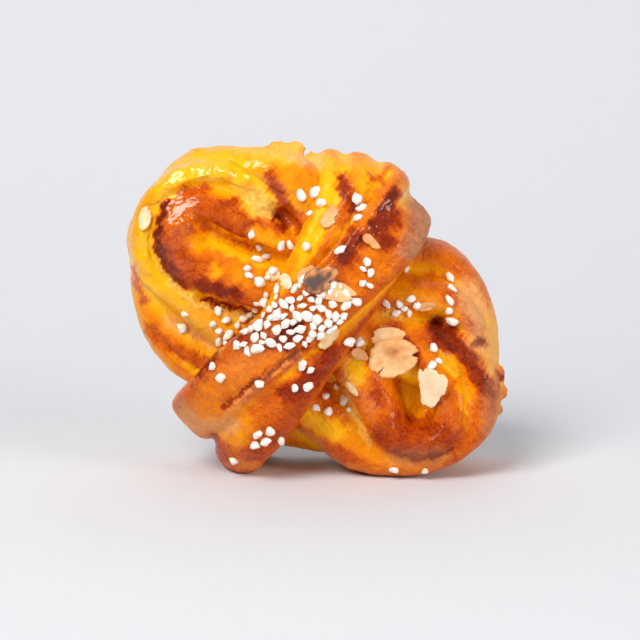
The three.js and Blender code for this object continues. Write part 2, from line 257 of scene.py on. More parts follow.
def note(mesh, name, values):
    # keeps a number or a vector for each point of the mesh
    values = np.asarray(values, np.float32)
    kind, field = ("FLOAT", "value") if values.ndim == 1 else ("FLOAT_VECTOR", "vector")
    layer = mesh.attributes.get(name) or mesh.attributes.new(name, kind, "POINT")
    layer.data.foreach_set(field, values.ravel())


def readRows(items, field, wide=3, kind=np.float32):
    flat = np.empty(len(items) * wide, kind)
    items.foreach_get(field, flat)
    return flat.reshape(-1, wide)


def readPoints(mesh):
    return readRows(mesh.vertices, "co").astype(float)


def readNormals(mesh):
    return readRows(mesh.vertex_normals, "vector").astype(float)


def readEdges(mesh):
    return readRows(mesh.edges, "vertices", 2, np.int32)


def writePoints(mesh, points):
    mesh.vertices.foreach_set("co", np.asarray(points, np.float32).ravel())
    mesh.update()


def joined(name, things):
    with bpy.context.temp_override(active_object=things[0], selected_editable_objects=things):
        bpy.ops.object.join()
    things[0].name = name
    return things[0]


def drop(thing):
    mesh = thing.data
    bpy.data.objects.remove(thing)
    bpy.data.meshes.remove(mesh)


def shadeSmooth(mesh):
    mesh.polygons.foreach_set("use_smooth", np.ones(len(mesh.polygons), bool))
    mesh.update()


def spreadOut(values, edges, rounds):
    # evens out values over the mesh: each round mixes a point half and half with its neighbours
    values = np.array(values, float).reshape(len(values), -1)
    ends = np.concatenate([edges[:, 0], edges[:, 1]])
    others = np.concatenate([edges[:, 1], edges[:, 0]])
    degree = np.bincount(ends, minlength=len(values)).clip(1)
    for _ in range(rounds):
        for column in range(values.shape[1]):
            around = np.bincount(ends, values[others, column], len(values)) / degree
            values[:, column] = (values[:, column] + around) / 2
    return values


def keepLargestShell(mesh):
    # drops the small closed shells that remeshing leaves inside the dough
    edges = readEdges(mesh)
    label = np.arange(len(mesh.vertices))
    while True:
        before = label.copy()
        least = np.minimum(label[edges[:, 0]], label[edges[:, 1]])
        np.minimum.at(label, edges[:, 0], least)
        np.minimum.at(label, edges[:, 1], least)
        label = label[label]
        if (label == before).all():
            break
    main = np.bincount(label).argmax()
    if (label != main).any():
        form = bmesh.new()
        form.from_mesh(mesh)
        form.verts.ensure_lookup_table()
        bmesh.ops.delete(form, geom=[form.verts[i] for i in np.flatnonzero(label != main)])
        form.to_mesh(mesh)
        form.free()


# the course of a strand

def courseThrough(points, closed, perSpan, spacing):
    # Catmull-Rom through the points; spacing 0.25 shares the spans by distance, 0 evenly
    points = np.asarray(points, float)
    count = len(points)
    track = []
    for span in range(count if closed else count - 1):
        if closed:
            p0, p1, p2, p3 = (points[(span + k) % count] for k in (-1, 0, 1, 2))
        else:
            p1, p2 = points[span], points[span + 1]
            p0 = points[span - 1] if span > 0 else 2 * p1 - p2
            p3 = points[span + 2] if span + 2 < count else 2 * p2 - p1
        step0, step1, step2 = (max(((b - a) @ (b - a)) ** spacing, 1e-4)
                               for a, b in ((p0, p1), (p1, p2), (p2, p3)))
        out = ((p1 - p0) / step0 - (p2 - p0) / (step0 + step1) + (p2 - p1) / step1) * step1
        into = ((p2 - p1) / step1 - (p3 - p1) / (step1 + step2) + (p3 - p2) / step2) * step1
        t = (np.arange(perSpan) / perSpan)[:, None]
        track.append(p1 + out * t + (3 * (p2 - p1) - 2 * out - into) * t ** 2
                     + (2 * (p1 - p2) + out + into) * t ** 3)
    track.append(points[:1] if closed else points[-1:])
    return np.concatenate(track)


def threeStage(values, t):
    start, turn, end = values
    return np.where(t < 0.5, start + (turn - start) * smoothStep(0, 0.5, t),
                    turn + (end - turn) * smoothStep(0.5, 1, t))


def coilStations(coil):
    # leg, arc, leg; rows of x, z, rise, half width, half thickness, roll and bake
    (startAngle, endAngle), hub, radii = coil["arc"], coil["hub"], coil["radii"]
    spans = math.ceil(abs(endAngle - startAngle) / bun["arcStep"])
    angles = np.radians(np.linspace(startAngle, endAngle, spans + 1))
    turn = np.stack([hub[0] + radii[0] * np.cos(angles), hub[1] + radii[1] * np.sin(angles)], 1)
    places = np.concatenate([coil["legIn"], turn, coil["legOut"]])
    reach = np.concatenate([[0], np.cumsum(np.linalg.norm(np.diff(places, axis=0), axis=1))])
    t = reach / reach[-1]
    sizes = [threeStage(coil.get(key, (0, 0, 0)), t) for key in ("rise", "half", "thick", "roll", "bake")]
    return np.column_stack([places, *sizes])


def wrapStations(wrap):
    rows = np.array(wrap["stations"], float)
    bake = threeStage(wrap["bake"], np.linspace(0, 1, len(rows)))
    return np.column_stack([rows, np.zeros(len(rows)), bake])


def strandPath(name, rows, closed, heading):
    # a chain of points that carry the reach of the skin to the side, outwards and past the end
    perSpan, stations = 24, 160
    centre = courseThrough(place(rows[:, 0], rows[:, 1], rows[:, 2]), closed, perSpan, 0.25)
    sizes = courseThrough(rows[:, 3:], closed, perSpan, 0)
    reach = np.concatenate([[0], np.cumsum(np.linalg.norm(np.diff(centre, axis=0), axis=1))])
    even = np.linspace(0, reach[-1], stations + 1)
    centre = np.stack([np.interp(even, reach, centre[:, k]) for k in range(3)], 1)
    half, thick, roll, bake = (np.interp(even, reach, sizes[:, k]) for k in range(4))
    tangent = np.gradient(centre, axis=0)
    if closed:
        tangent[0] = tangent[-1] = centre[1] - centre[-2]
    tangent /= np.linalg.norm(tangent, axis=1)[:, None]
    if heading is None:
        side = np.cross(tangent, [0, -1, 0])
    else:
        axle = np.array([math.sin(math.radians(heading)), 0, -math.cos(math.radians(heading))])
        side = axle - tangent * (tangent @ axle)[:, None]
    side /= np.linalg.norm(side, axis=1)[:, None]
    out = np.cross(side, tangent)
    turn = np.radians(roll)[:, None]
    side, out = (side * np.cos(turn) + np.cross(tangent, side) * np.sin(turn),
                 out * np.cos(turn) + np.cross(tangent, out) * np.sin(turn))
    last = stations if closed else stations + 1
    path = newThing(name, centre[:last], [(k, (k + 1) % last) for k in range(stations)])
    carried = {"sideReach": side * half[:, None] * mm, "outReach": out * thick[:, None] * mm,
               "endReach": tangent * thick[:, None] * mm, "girth": np.column_stack([half, thick, bake])}
    for key, values in carried.items():
        note(path.data, key, values[:last])
    return path, reach[-1]


strandPlan = {
    "pitch": 0.8,  # between the rings of a strand's skin
    "sides": 64,
    "capReach": 8,  # length of each rounded end
    "uneven": 0.55,  # by which the girth wanders
    "wander": 75,  # waves of that for each metre
    "apart": 0.4,  # metres between the strands in the straightened pattern space
}


def strandSkinTree():
    # bends a sheet round a path: its X becomes the way along and its Y the way round
    bench, given = newTree("strandSkin", Int="Rings Sides", Material="Skin",
                           Float="Power Cap Uneven Wander Length Offset")
    path = bench.node("GeometryNodeMeshToCurve", None, given.of("Geometry"))
    sheet = bench.node("GeometryNodeMeshGrid", None, 1.0, 1.0, given.of("Rings"), given.of("Sides"))
    spot = bench.node("ShaderNodeSeparateXYZ", None, bench.node("GeometryNodeInputPosition"))
    angle = (spot.of("Y") + 0.5) * (2 * math.pi)
    cap = given.of("Cap")
    stretched = (spot.of("X") + 0.5) * (1 + 2 * cap) - cap
    along = stretched.most(0).least(1)
    over = ((stretched - along) / cap.most(1e-6)).most(-1).least(1)
    girth = (1 - over * over).most(0) ** 0.5

    def sampled(name):
        return bench.node("GeometryNodeSampleCurve", {"mode": "FACTOR", "data_type": "FLOAT_VECTOR"},
                          Curves=path, Value=bench.carried(name, "FLOAT_VECTOR"), Factor=along)

    def squared(value):
        return value.one("SIGN") * value.one("ABSOLUTE") ** (2 / given.of("Power"))

    side, out, end, sizes = (sampled(name) for name in ("sideReach", "outReach", "endReach", "girth"))
    width, depth = squared(angle.one("COSINE")), squared(angle.one("SINE"))
    across = bench.vector("ADD", bench.scaled(side, width * girth), bench.scaled(out, depth * girth))
    skin = bench.vector("ADD", bench.vector("ADD", side.of("Position"), across), bench.scaled(end, over))
    wave = bench.noise(bench.vector("ADD", skin, (0.37, 0.11, 0.73)), given.of("Wander"), 1.5)
    push = bench.scaled(bench.vector("NORMALIZE", across), (wave - 0.5) * 2 * given.of("Uneven"))
    bent = bench.node("GeometryNodeSetPosition", None, Geometry=sheet,
                      Position=bench.vector("ADD", skin, push))

    size = bench.node("ShaderNodeSeparateXYZ", None, sizes)
    straight = bench.node("ShaderNodeCombineXYZ", None, along * given.of("Length") + given.of("Offset"),
                          width * size.of("X") * mm, depth * size.of("Y") * mm)
    bent = bench.stored(bent, "straight", "FLOAT_VECTOR", straight)
    bent = bench.stored(bent, "bake", "FLOAT", size.of("Z"))
    closed = bench.node("GeometryNodeMergeByDistance", None, Geometry=bent, Distance=1e-6)
    return closeTree(bench, closed, given.of("Skin"))


def carryOverTree():
    # gives each point of the dough the pattern space and the bake of the nearest strand
    bench, given = newTree("carryOver", Object="Strands", Material="Skin")
    strands = bench.node("GeometryNodeObjectInfo", None, given.of("Strands")).of("Geometry")
    shape = given.of("Geometry")
    for name, kind in (("straight", "FLOAT_VECTOR"), ("bake", "FLOAT")):
        found = bench.node("GeometryNodeSampleNearestSurface", {"data_type": kind}, strands,
                           bench.carried(name, kind))
        shape = bench.stored(shape, name, kind, found)
    return closeTree(bench, shape, given.of("Skin"))


def reliefTree():
    # pushes the crust in and out along its normals: soft lumps, wrinkled glaze, torn crumb, blisters
    bench, given = newTree("crustRelief", Float="Lumps Glints Wrinkles Torn Blister", Material="Skin")
    spot = bench.node("GeometryNodeInputPosition")
    lumps = bench.noise(spot, 150.0, 2) - 0.5
    pores = bench.noise(spot, 420.0, 1) - 0.5
    glints = bench.noise(spot, 820.0, 1) - 0.5
    stretched = bench.vector("MULTIPLY", bench.carried("straight", "FLOAT_VECTOR"), (1, 0.45, 0.45))
    wrinkles = bench.noise(stretched, 760.0, 1.5) - 0.5
    crumb = bench.noise(spot, 480.0, 2.5, 0.55) - 0.5
    blister = bench.noise(spot, 520.0, 1) - 0.45
    height = (lumps * given.of("Lumps") + pores * (given.of("Lumps") * 0.3)
              + glints * given.of("Glints") * (0.6 + bench.carried("glaze") + bench.carried("toast"))
              + wrinkles * given.of("Wrinkles") * bench.carried("glaze")
              + crumb * given.of("Torn") * bench.carried("torn")
              + blister * given.of("Blister") * bench.carried("blister"))
    pushed = bench.node("GeometryNodeSetPosition", None, Geometry=given.of("Geometry"),
                        Offset=bench.scaled(bench.node("GeometryNodeInputNormal"), height))
    return closeTree(bench, pushed, given.of("Skin"))


# the three pieces of dough, with the places and sizes of the solid

# "voxel"    size of the facets
# "swell"    by which the strands rise into each other, so that their creases end in a round of that size
# "coils"    a way in, an arc round a hub and a way out. The threes hold for the start, the turn and the end
# "wraps"    bands with a heading in degrees. Each station is x, z, rise, half width and half thickness
# "facets"   spots that are nearly flat: place, reach, least rise and how flat
# "grooves"  folds: a line, its reach, how far in (less than 0 is a ridge) and the least rise
# "cushions" dough that fills the inside and the flat back: place, rise and half sizes
# "knobs"    lumps of torn crumb, given the same way
leftLobe = {
    "voxel": 0.52,
    "swell": 0.55,
    "coils": {
        "innerLeft": {
            "legIn": [(-2.5, 71.5)], "hub": (-34, 75.5), "radii": (9, 8.5), "arc": (85, 268),
            "legOut": [(-6, 56.5)], "rise": (28, 31, 30), "half": (7, 8, 10), "thick": (10, 12, 12),
            "roll": (-14, 0, 16), "bake": (0.42, 0.54, 0.4),
        },
        "middleLeft": {
            "legIn": [(-6, 75)], "hub": (-33.5, 74.5), "radii": (19.5, 18.5), "arc": (70, 245),
            "legOut": [(-18, 39.5)], "rise": (25, 26, 28), "half": (4, 5.5, 7.5), "thick": (11, 12, 11),
            "bake": (0.2, 0.12, 0.2),
        },
        "outerLeft": {
            "legIn": [(0, 75), (-6, 91.5)], "hub": (-32, 66.5), "radii": (21, 30.5), "arc": (80, 245),
            "legOut": [(-22, 30.5)], "rise": (30, 19, 24), "half": (8, 5.5, 8.5), "thick": (11, 15, 13),
            "bake": (0.5, 0.2, 0.5),
        },
        "underLeft": {
            "legIn": [(-3, 89)], "hub": (-28, 63), "radii": (25.5, 32.5), "arc": (100, 255),
            "legOut": [(-13, 21)], "rise": (12, 12, 12), "half": (6.5, 6.5, 6.5), "thick": (12, 12, 12),
            "bake": (0.25, 0.35, 0.35),
        },
        "ringFill": {  # dough that has risen into the seam between the two outer coils
            "legIn": [(-14, 88)], "hub": (-33, 70), "radii": (23, 25.5), "arc": (62, 168),
            "legOut": [(-55, 68)], "rise": (30, 31.5, 24), "half": (2.6, 3.8, 4), "thick": (8, 9, 8),
            "bake": (0.12, 0.1, 0.12),
        },
    },
    "facets": [
        ((-42.5, 84.5), 7, 33, 0.75), ((-42, 93.5), 4.2, 27, 0.7), ((-36.5, 95.8), 4.2, 27, 0.7),
        ((-30, 95.5), 4.2, 27, 0.7), ((-23.5, 92.5), 4.2, 27, 0.7), ((-37, 101), 2.6, 20, 0.5),
        ((-21.5, 98), 3, 27, 0.6), ((-14, 95.5), 2.4, 27, 0.5), ((-54, 71), 3, 20, 0.5),
        ((-53.5, 63), 3, 20, 0.5),
    ],
    "grooves": [
        ([(-38.5, 83), (-35, 80), (-31.5, 77.5), (-25.5, 74.5), (-19.5, 72), (-12, 69.3)], 1.9, 2.4, 24),
        ([(-32, 74.8), (-26, 71.5), (-18.5, 69), (-12, 66.3)], 2.2, -0.9, 24),
        ([(-37, 57.5), (-30, 55.3), (-24, 54.2), (-17, 52.5)], 1.3, 1.8, 24),
        ([(-12.5, 83), (-8, 79.7), (-5, 77.5)], 1.7, 2.2, 24),
        ([(-52, 47.5), (-44, 39), (-36, 33.5)], 1.4, 1, 12),
    ],
    "cushions": [
        ((-27, 64), 16.5, (26, 13.6, 30)), ((-28.5, 65), 6.5, (28, 6, 33)),
    ],
    "knobs": [
        ((-13, 100.5), 22, (5.5, 5, 4)), ((-9, 101), 24, (4, 4.5, 3)), ((-7.8, 102.6), 24, (3.4, 4, 2)),
        ((-18.8, 86.4), 35.5, (4.3, 3.4, 3.8)),
    ],
}

rightLobe = {
    "voxel": 0.5,
    "swell": 0.5,
    "coils": {
        "innerRight": {
            "legIn": [(7, 47)], "hub": (30, 22.5), "radii": (11, 10.5), "arc": (180, 378),
            "legOut": [(23, 45)], "rise": (28, 31, 28), "half": (9.5, 6, 8.5), "thick": (11, 12, 11),
            "roll": (14, 0, -16), "bake": (0.2, 0.62, 0.4),
        },
        "middleRight": {
            "legIn": [(8, 48)], "hub": (26.5, 25), "radii": (24.5, 18.5), "arc": (88, -160),
            "legOut": [(-9.5, 29)], "rise": (26, 26, 22), "half": (8, 5, 10.5), "thick": (12, 13, 13),
            "bake": (0.4, 0.6, 0.3),
        },
        "upperRight": {
            "legIn": [(13, 55)], "hub": (32, 35.5), "radii": (17.5, 21.5), "arc": (98, -50),
            "legOut": [(37, 10)], "rise": (25, 21, 14), "half": (8.5, 5.5, 5), "thick": (12, 13, 12),
            "bake": (0.38, 0.55, 0.5),
        },
        "outerRight": {
            "legIn": [(18, 67)], "hub": (31.5, 38), "radii": (20, 31), "arc": (98, -100),
            "legOut": [(-16, 14)], "rise": (15, 14, 12), "half": (5.5, 5.5, 6), "thick": (13, 13, 12),
            "bake": (0.6, 0.4, 0.45),
        },
    },
    "facets": [
        ((10, 36), 4, 30, 0.5),
    ],
    "grooves": [
        ([(25.5, 42), (28, 35), (30, 28.5), (32, 22)], 2.6, 2.2, 24),
        ([(39, 41.5), (43, 36), (45, 29), (44.5, 20), (41, 13), (33, 8.3), (24, 9.3)], 1.2, 0.9, 20),
    ],
    "cushions": [
        ((27, 34), 16.5, (26, 13.4, 27)), ((27, 35), 6.5, (27, 6, 29)),
    ],
    "knobs": [
        ((56, 32), 27, (1.9, 2.4, 3.2)), ((57, 26.5), 26, (1.8, 2.4, 2.6)), ((56, 21), 26, (1.5, 2.2, 1.9)),
    ],
}

beltAndFolds = {
    "voxel": 0.52,
    "swell": 0.6,
    "coils": {
        "foldFill": {  # dough that closes the gaps between the ends of the folds
            "legIn": [(-7, 92)], "hub": (6, 85), "radii": (12, 11), "arc": (120, 60),
            "legOut": [(17, 90)], "rise": (22, 24, 22), "half": (3.5, 3.5, 3.5), "thick": (12, 12, 12),
            "bake": (0.2, 0.25, 0.3),
        },
    },
    "wraps": {
        "pullLeft": {
            "heading": 62, "power": 3, "bake": (0.2, 0.2, 0.12),
            "stations": [(4, 85, 8, 6, 8), (2, 93, 22, 6, 9), (3, 90, 31, 5.5, 9),
                         (1, 82, 35, 5, 9), (-5, 70, 37, 4, 9), (-13.5, 55, 36, 3.5, 9)],
        },
        "pullMiddle": {
            "heading": 58, "power": 3, "bake": (0.3, 0.4, 0.25),
            "stations": [(12, 85, 8, 7, 8), (10.5, 92, 22, 7, 9), (9.5, 88.5, 31, 6, 10),
                         (6, 79.5, 36, 5.5, 10), (-1, 68.5, 38, 4, 10), (-10.5, 56, 36, 3.5, 9)],
        },
        "pullRight": {
            "heading": 52, "power": 3, "bake": (0.3, 0.32, 0.22),
            "stations": [(20, 82, 8, 7, 8), (19, 89, 22, 7, 9), (17, 85.5, 31, 6, 10),
                         (11, 77, 36, 5, 10), (2.5, 68, 38, 4, 10), (-6, 58, 36, 3.5, 9)],
        },
        "tail": {
            "heading": 49, "power": 2.4, "bake": (0.72, 0.66, 0.58),
            "stations": [(19, 61.5, 34, 3, 7), (9.5, 50.5, 38, 4, 8), (-1, 38, 40, 5.5, 9),
                         (-11.5, 26.5, 39, 8, 9), (-19.5, 17, 35, 9, 9), (-24, 10, 27, 8.5, 8),
                         (-24.5, 6, 17, 7.5, 8), (-21, 6.5, 6, 6.5, 8)],
        },
        "belt": {
            "heading": 45, "power": 4.4, "closed": True, "bake": (0.58, 0.5, 0.58),
            "stations": [(7, 63.5, 41, 10, 9), (-9, 48.5, 42, 9.5, 9), (-24.5, 34.5, 39, 9.5, 9),
                         (-35, 23.5, 29, 9, 8), (-37.5, 19.5, 16, 8.5, 7), (-32, 21, 5, 9, 7),
                         (-6.5, 46.5, 3, 9, 6), (18.5, 73, 5, 9, 7), (24, 81.5, 16, 10, 7),
                         (22.5, 80, 29, 10.5, 8), (17.5, 74, 38, 10.5, 9)],
        },
    },
    "grooves": [
        ([(-29, 25.5), (-22, 31.5), (-15, 36.5), (-8, 42), (-3, 46.5)], 1.3, 1, 30),
        ([(21, 95.5), (17, 91), (11.5, 85.5), (6.3, 77), (1, 70.7), (-8, 62)], 1.2, 1.3, 24),
        ([(24, 94), (19.5, 89.5), (13.5, 83.5), (8.5, 75), (3, 68.5), (-6, 60)], 1.4, -0.8, 24),
    ],
    "cushions": [
        ((0, 52), 18, (24, 14, 33)), ((0, 54), 8.2, (24, 6.5, 33)), ((-2, 27.5), 7.7, (15, 6, 12)),
        ((-21, 34), 7.7, (12, 6, 14)),
    ],
    "knobs": [
        ((-2.5, 97), 24, (4.6, 6, 4.4)),
    ],
}

# What the oven did to each spot of the face, with some painted shade, highlight, sheen and bounce light
# among them, as strokes: a line of spots, the reach beside it, the toast there, from 0 for pale yellow dough
# to 1 for nearly black, and the least rise it covers, if not the usual.
browningAndPaintedLight = {
    "leftLobe": [
        ([(-47, 93), (-36, 97.5), (-24, 99.5)], 6, 0.06),
        ([(-52, 80), (-54.5, 70), (-52.5, 62), (-46, 57)], 3, 0.12), ([(-41, 84), (-44, 80)], 5, 0.58),
        ([(-44.5, 74), (-42, 69), (-37, 64.5)], 4.2, 0.7),
        ([(-47, 71), (-44.5, 66.5), (-41.5, 62)], 2.2, 0.86),
        ([(-35.5, 62), (-29.5, 60.5), (-24.5, 60)], 2.4, 0.88),
        ([(-46, 87), (-48, 81), (-49, 75), (-47.5, 70)], 1.5, 0.93),
        # the spot at (-35, 81) and the dark line below it are painted shade in the pit and the groove
        # between the arms of the inner coil
        ([(-41, 89.5), (-34.5, 90.5)], 2.2, 0.64), ([(-35, 81)], 3, 0.64),
        ([(-37.5, 83), (-34.5, 79.5), (-31.5, 77.5), (-25.5, 74.7), (-19.5, 72.2)], 1.3, 0.62),
        ([(-33, 75.5), (-26, 72), (-18.5, 69), (-10, 66)], 2.1, 0.16), ([(-25, 66), (-15, 62)], 4, 0.42),
        # the dark line from (-35, 57) is painted shade in the seam under the inner coil
        ([(-31, 66.5)], 2.6, 0.25), ([(-35, 57), (-30, 55.3), (-25, 54.3), (-19, 53)], 1.1, 0.9, 28),
        # the dark line from (-12.5, 83.5) is painted shade in the hole beside the torn knob
        ([(-12.5, 83.5), (-8, 80), (-5.5, 78)], 1.5, 0.8, 28), ([(-28.5, 86), (-25.5, 86.5)], 1.7, 0.76),
        ([(-23, 83), (-21.5, 80), (-19, 81.5)], 1.8, 0.72), ([(-12, 74), (-19, 77)], 3, 0.3),
        ([(-14.5, 94), (-11, 87), (-8, 80.5)], 2.6, 0.72), ([(-6, 97), (-2.5, 90.5)], 4, 0.42),
        ([(-21.3, 100.4)], 1.3, 0.8), ([(-47, 57), (-39.5, 51)], 3, 0.2),
        ([(-57, 66), (-56, 61), (-53.5, 56.5)], 1.5, 0.62),
        ([(-45.5, 50), (-37, 45), (-32.5, 41)], 1.8, 0.34),
        ([(-52, 47.5), (-47.5, 43), (-39.5, 39), (-35, 37)], 2.6, 0.64), ([(-18.5, 86.5)], 4.2, 0.02),
        # the dark line from (-13.5, 82) is more painted shade in that hole
        ([(-13.5, 82), (-10, 79)], 1.2, 0.86), ([(-20, 102.5), (-8, 102)], 4, 0.03),
    ],
    "beltAndFolds": [
        ([(1, 98), (3, 86), (-4, 73)], 3, 0.03), ([(13.5, 97), (15.5, 87.5), (7, 76)], 4, 0.26),
        ([(6.5, 93.5), (7.5, 89), (9.5, 85.5)], 2.3, 0.84), ([(7, 84), (6, 81)], 1.8, 0.62),
        # the orange line from (25, 95) along the belt's upper rim is a painted rim highlight
        ([(15.5, 94), (18.5, 93)], 1.6, 0.6), ([(25, 95), (19.5, 90.5), (13.5, 84), (8.5, 76)], 2, 0.5),
        ([(6, 69), (-2, 60), (-10, 52)], 7, 0.6), ([(31, 84), (28, 75)], 5, 0.68),
        ([(22, 89), (19.5, 85), (15.5, 79.5)], 2.3, 0.9), ([(22, 82), (18, 80), (20, 75)], 3.2, 0.86),
        ([(11, 77), (7.5, 71)], 3, 0.88), ([(15.5, 70), (20, 68)], 3.5, 0.54),
        ([(-31.5, 32.5), (-22.5, 37.5), (-15, 43)], 5, 0.5), ([(-15, 28), (-22, 18)], 5, 0.6),
        ([(-38.5, 19.5), (-32, 18.5), (-26, 24)], 4, 0.46), ([(-6, 51.5), (-14.5, 45.5)], 2.3, 0.9),
        ([(-37, 35), (-32, 40.5)], 1.5, 0.92), ([(-25, 46), (-19, 48.5)], 2, 0.8),
        ([(-9.5, 44.5)], 1.5, 0.97),
        # painted shade along the crease where the belt meets the tail
        ([(-29, 25.5), (-22, 31.5), (-15, 36.5), (-8, 42), (-3, 46.5)], 1.1, 0.8),
        ([(-10.5, 31), (-6, 31), (-3, 36), (3, 43)], 3.2, 0.84), ([(-22.5, 19.5), (-26, 14.5)], 3.5, 0.38),
        # the stroke from (-24, 5) keeps the tail's foot lighter, partly as painted bounce light from the
        # floor
        ([(-33, 14), (-30, 7)], 2.2, 0.76), ([(-24, 5), (-18, 3)], 3, 0.45),
    ],
    "rightLobe": [
        ([(37.5, 72.5), (44, 67.5), (50.5, 58)], 4.5, 0.58), ([(54, 47), (54, 36)], 4, 0.26, 4),
        ([(22.5, 65), (25, 60)], 3, 0.4), ([(24, 60), (32, 57), (40, 52)], 4, 0.36),
        ([(22, 20), (26, 16.5), (33, 15), (39, 18)], 4, 0.74), ([(34, 63.5), (38, 62)], 1.5, 0.5),
        # the pale stroke from (46.5, 58) is a painted sheen on the right shoulder, with its matt stroke in
        # surfaces
        ([(46.5, 58), (49.5, 52)], 4, 0.38), ([(48.5, 43.5)], 2.2, 0.9), ([(43, 26), (44, 18)], 3, 0.3),
        ([(35.5, 47.5), (39.5, 44.5)], 3.4, 0.95), ([(40, 45.5), (44, 41), (48, 35), (51, 29)], 2.5, 0.86),
        ([(49, 24), (48.5, 17), (43.5, 11)], 4, 0.6),
        ([(36.5, 40), (40.5, 36), (42.5, 29.5), (43.5, 23.5)], 1.6, 0.2),
        ([(-5, 22), (0, 18), (7.5, 15)], 3.6, 0.12), ([(9, 13.5), (15.5, 9), (24.5, 6)], 3, 0.42),
        ([(36, 4), (9.5, 4)], 2.2, 0.5), ([(10.5, 37), (11, 33)], 4, 0.1),
        ([(21.5, 36), (23, 30)], 3.4, 0.5), ([(14.5, 28), (17.5, 19)], 4.4, 0.56),
        ([(16.5, 28.5), (19, 25.5)], 1.9, 0.74),
        ([(20, 17), (26, 13.5), (33.5, 13), (39.5, 16.5)], 5, 0.78),
        ([(21, 11.5), (31, 8), (40.5, 11)], 1, 0.8), ([(40, 31), (41.5, 20)], 2.6, 0.6),
        ([(24, 38), (27.5, 31), (30.5, 24)], 2.8, 0.1), ([(33.5, 38.5), (36.5, 32)], 3, 0.48),
        ([(56.5, 32)], 2.6, 0.85, 24), ([(57.5, 26.5), (56.5, 20)], 2.6, 0.55, 23),
    ],
}

# The same kind of strokes for bare, matt dough, whose pale pinks also paint a sheen on the right shoulder
# and partly a reflection on the belt's end, torn seams, wrinkled glaze, wet shine and blisters.
surfaces = {
    "dry": [
        ([(-38, 17), (-43, 24)], 3.2, 0.75, 0), ([(-36, 17), (-27, 19.5)], 3, 0.7),
        # the stroke from (30, 89) makes the belt's end face matt, its greyish pink partly a painted
        # reflection
        ([(-6, 42.5), (-17.5, 34), (-29, 22)], 1.4, 0.4), ([(30, 89), (31, 80), (28, 73)], 4.5, 0.9, 0),
        # the stroke from (46, 58) gives the right shoulder the pale pink of a painted sheen
        ([(46, 58), (49.5, 50), (50, 44)], 5, 0.85), ([(54, 48), (54, 34)], 4, 0.45, 0),
        ([(-46, 50), (-32, 43)], 2, 0.6), ([(-9, 100.5), (0, 98)], 1.6, 0.8),
        ([(-6, 15), (0, 11), (5, 6)], 1.3, 0.6), ([(53, 28), (53, 18)], 4, 0.6),
        ([(24, 9), (36, 9)], 4, 0.45),
    ],
    "torn": [
        ([(-48.5, 70), (-44.5, 62), (-37.5, 56), (-29, 53), (-20, 51)], 1.2, 0.9, 14),
        ([(6.5, 35), (7.5, 31), (10, 22), (15.5, 13.5)], 1.5, 0.9, 14),
        ([(-19.5, 88), (-16, 84.5)], 3.4, 1, 20), ([(-19, 103), (-7, 102.5)], 3, 0.62, 0),
        ([(57, 32), (57, 19)], 2.6, 0.5, 4), ([(20, 52), (24, 52)], 2, 0.6),
    ],
    "glaze": [
        ([(-56, 62), (-55, 78), (-47, 92), (-36, 96), (-22, 93)], 8, 0.45),
        ([(-44, 93.5), (-37.5, 96), (-32.5, 94), (-21, 91)], 2.6, 1),
        ([(-38, 101.5), (-31, 102), (-23, 97), (-16, 96.5)], 2.2, 0.9), ([(-55, 72), (-53, 60)], 2.4, 0.9),
        ([(-47, 60), (-38, 54), (-20, 45)], 5, 0.5), ([(-18.5, 97), (-13, 91), (-9, 84)], 2, 0.8),
        ([(9, 38), (12, 33)], 5, 0.9), ([(-2, 24), (8, 16)], 5, 0.5), ([(12, 80), (2, 67)], 2, 0.4),
        ([(3, 92), (14, 88)], 6, 0.4), ([(-30, 67)], 4, 0.7),
    ],
    "shine": [
        ([(-42.5, 84.5)], 7, 1), ([(-45, 74), (-42, 68)], 4, 0.6),
        ([(-47, 92), (-38, 96), (-28, 95), (-19, 90)], 4, 1), ([(-20, 97), (-13, 92), (-8, 83)], 3, 0.8),
        ([(-55, 78), (-55, 62), (-47, 56), (-36, 49), (-22, 44)], 4, 0.8),
        ([(22, 88), (15, 78), (4, 64)], 4, 0.5), ([(-28, 36), (-14, 47)], 5, 0.6),
        ([(30, 60), (36, 57)], 5, 0.5), ([(6, 38), (12, 32), (16, 24)], 4, 0.7),
        ([(38, 26), (40, 18)], 2, 0.6),
    ],
    "blister": [
        ([(-28, 36), (-15, 46)], 5, 0.25), ([(13, 72), (20, 70)], 5, 0.4), ([(-48, 54), (-36, 48)], 4, 0.2),
        ([(34, 48.5), (39.5, 45)], 4, 1), ([(48.5, 43.5)], 3, 0.8), ([(20, 86), (15, 79)], 4, 0.7),
        ([(-12, 47), (-3, 52)], 3, 0.8), ([(-46, 67), (-40, 61), (-30, 59)], 3, 0.5),
        ([(-46, 87), (-48, 81), (-49, 74)], 2, 0.9), ([(-38, 32), (-30, 42)], 1.6, 0.8),
        ([(44, 41), (51, 29)], 2, 0.5),
    ],
}


strokePlan = {
    "deep": 16,  # the usual least rise that a stroke covers
    "softRise": 4,  # half the height over which it fades in
    "edge": (0.2, 1.5),  # shares of its reach between which it fades out
}
facetPlan = {
    "level": 0.4,  # share of its reach from which a flat spot takes its height
    "edge": (0.5, 1.15),  # shares of its reach between which it ends
    "softRise": (3, 2),  # heights below and above its least rise over which it fades in
    "press": 4,  # dough further off its plane than this keeps its shape
}


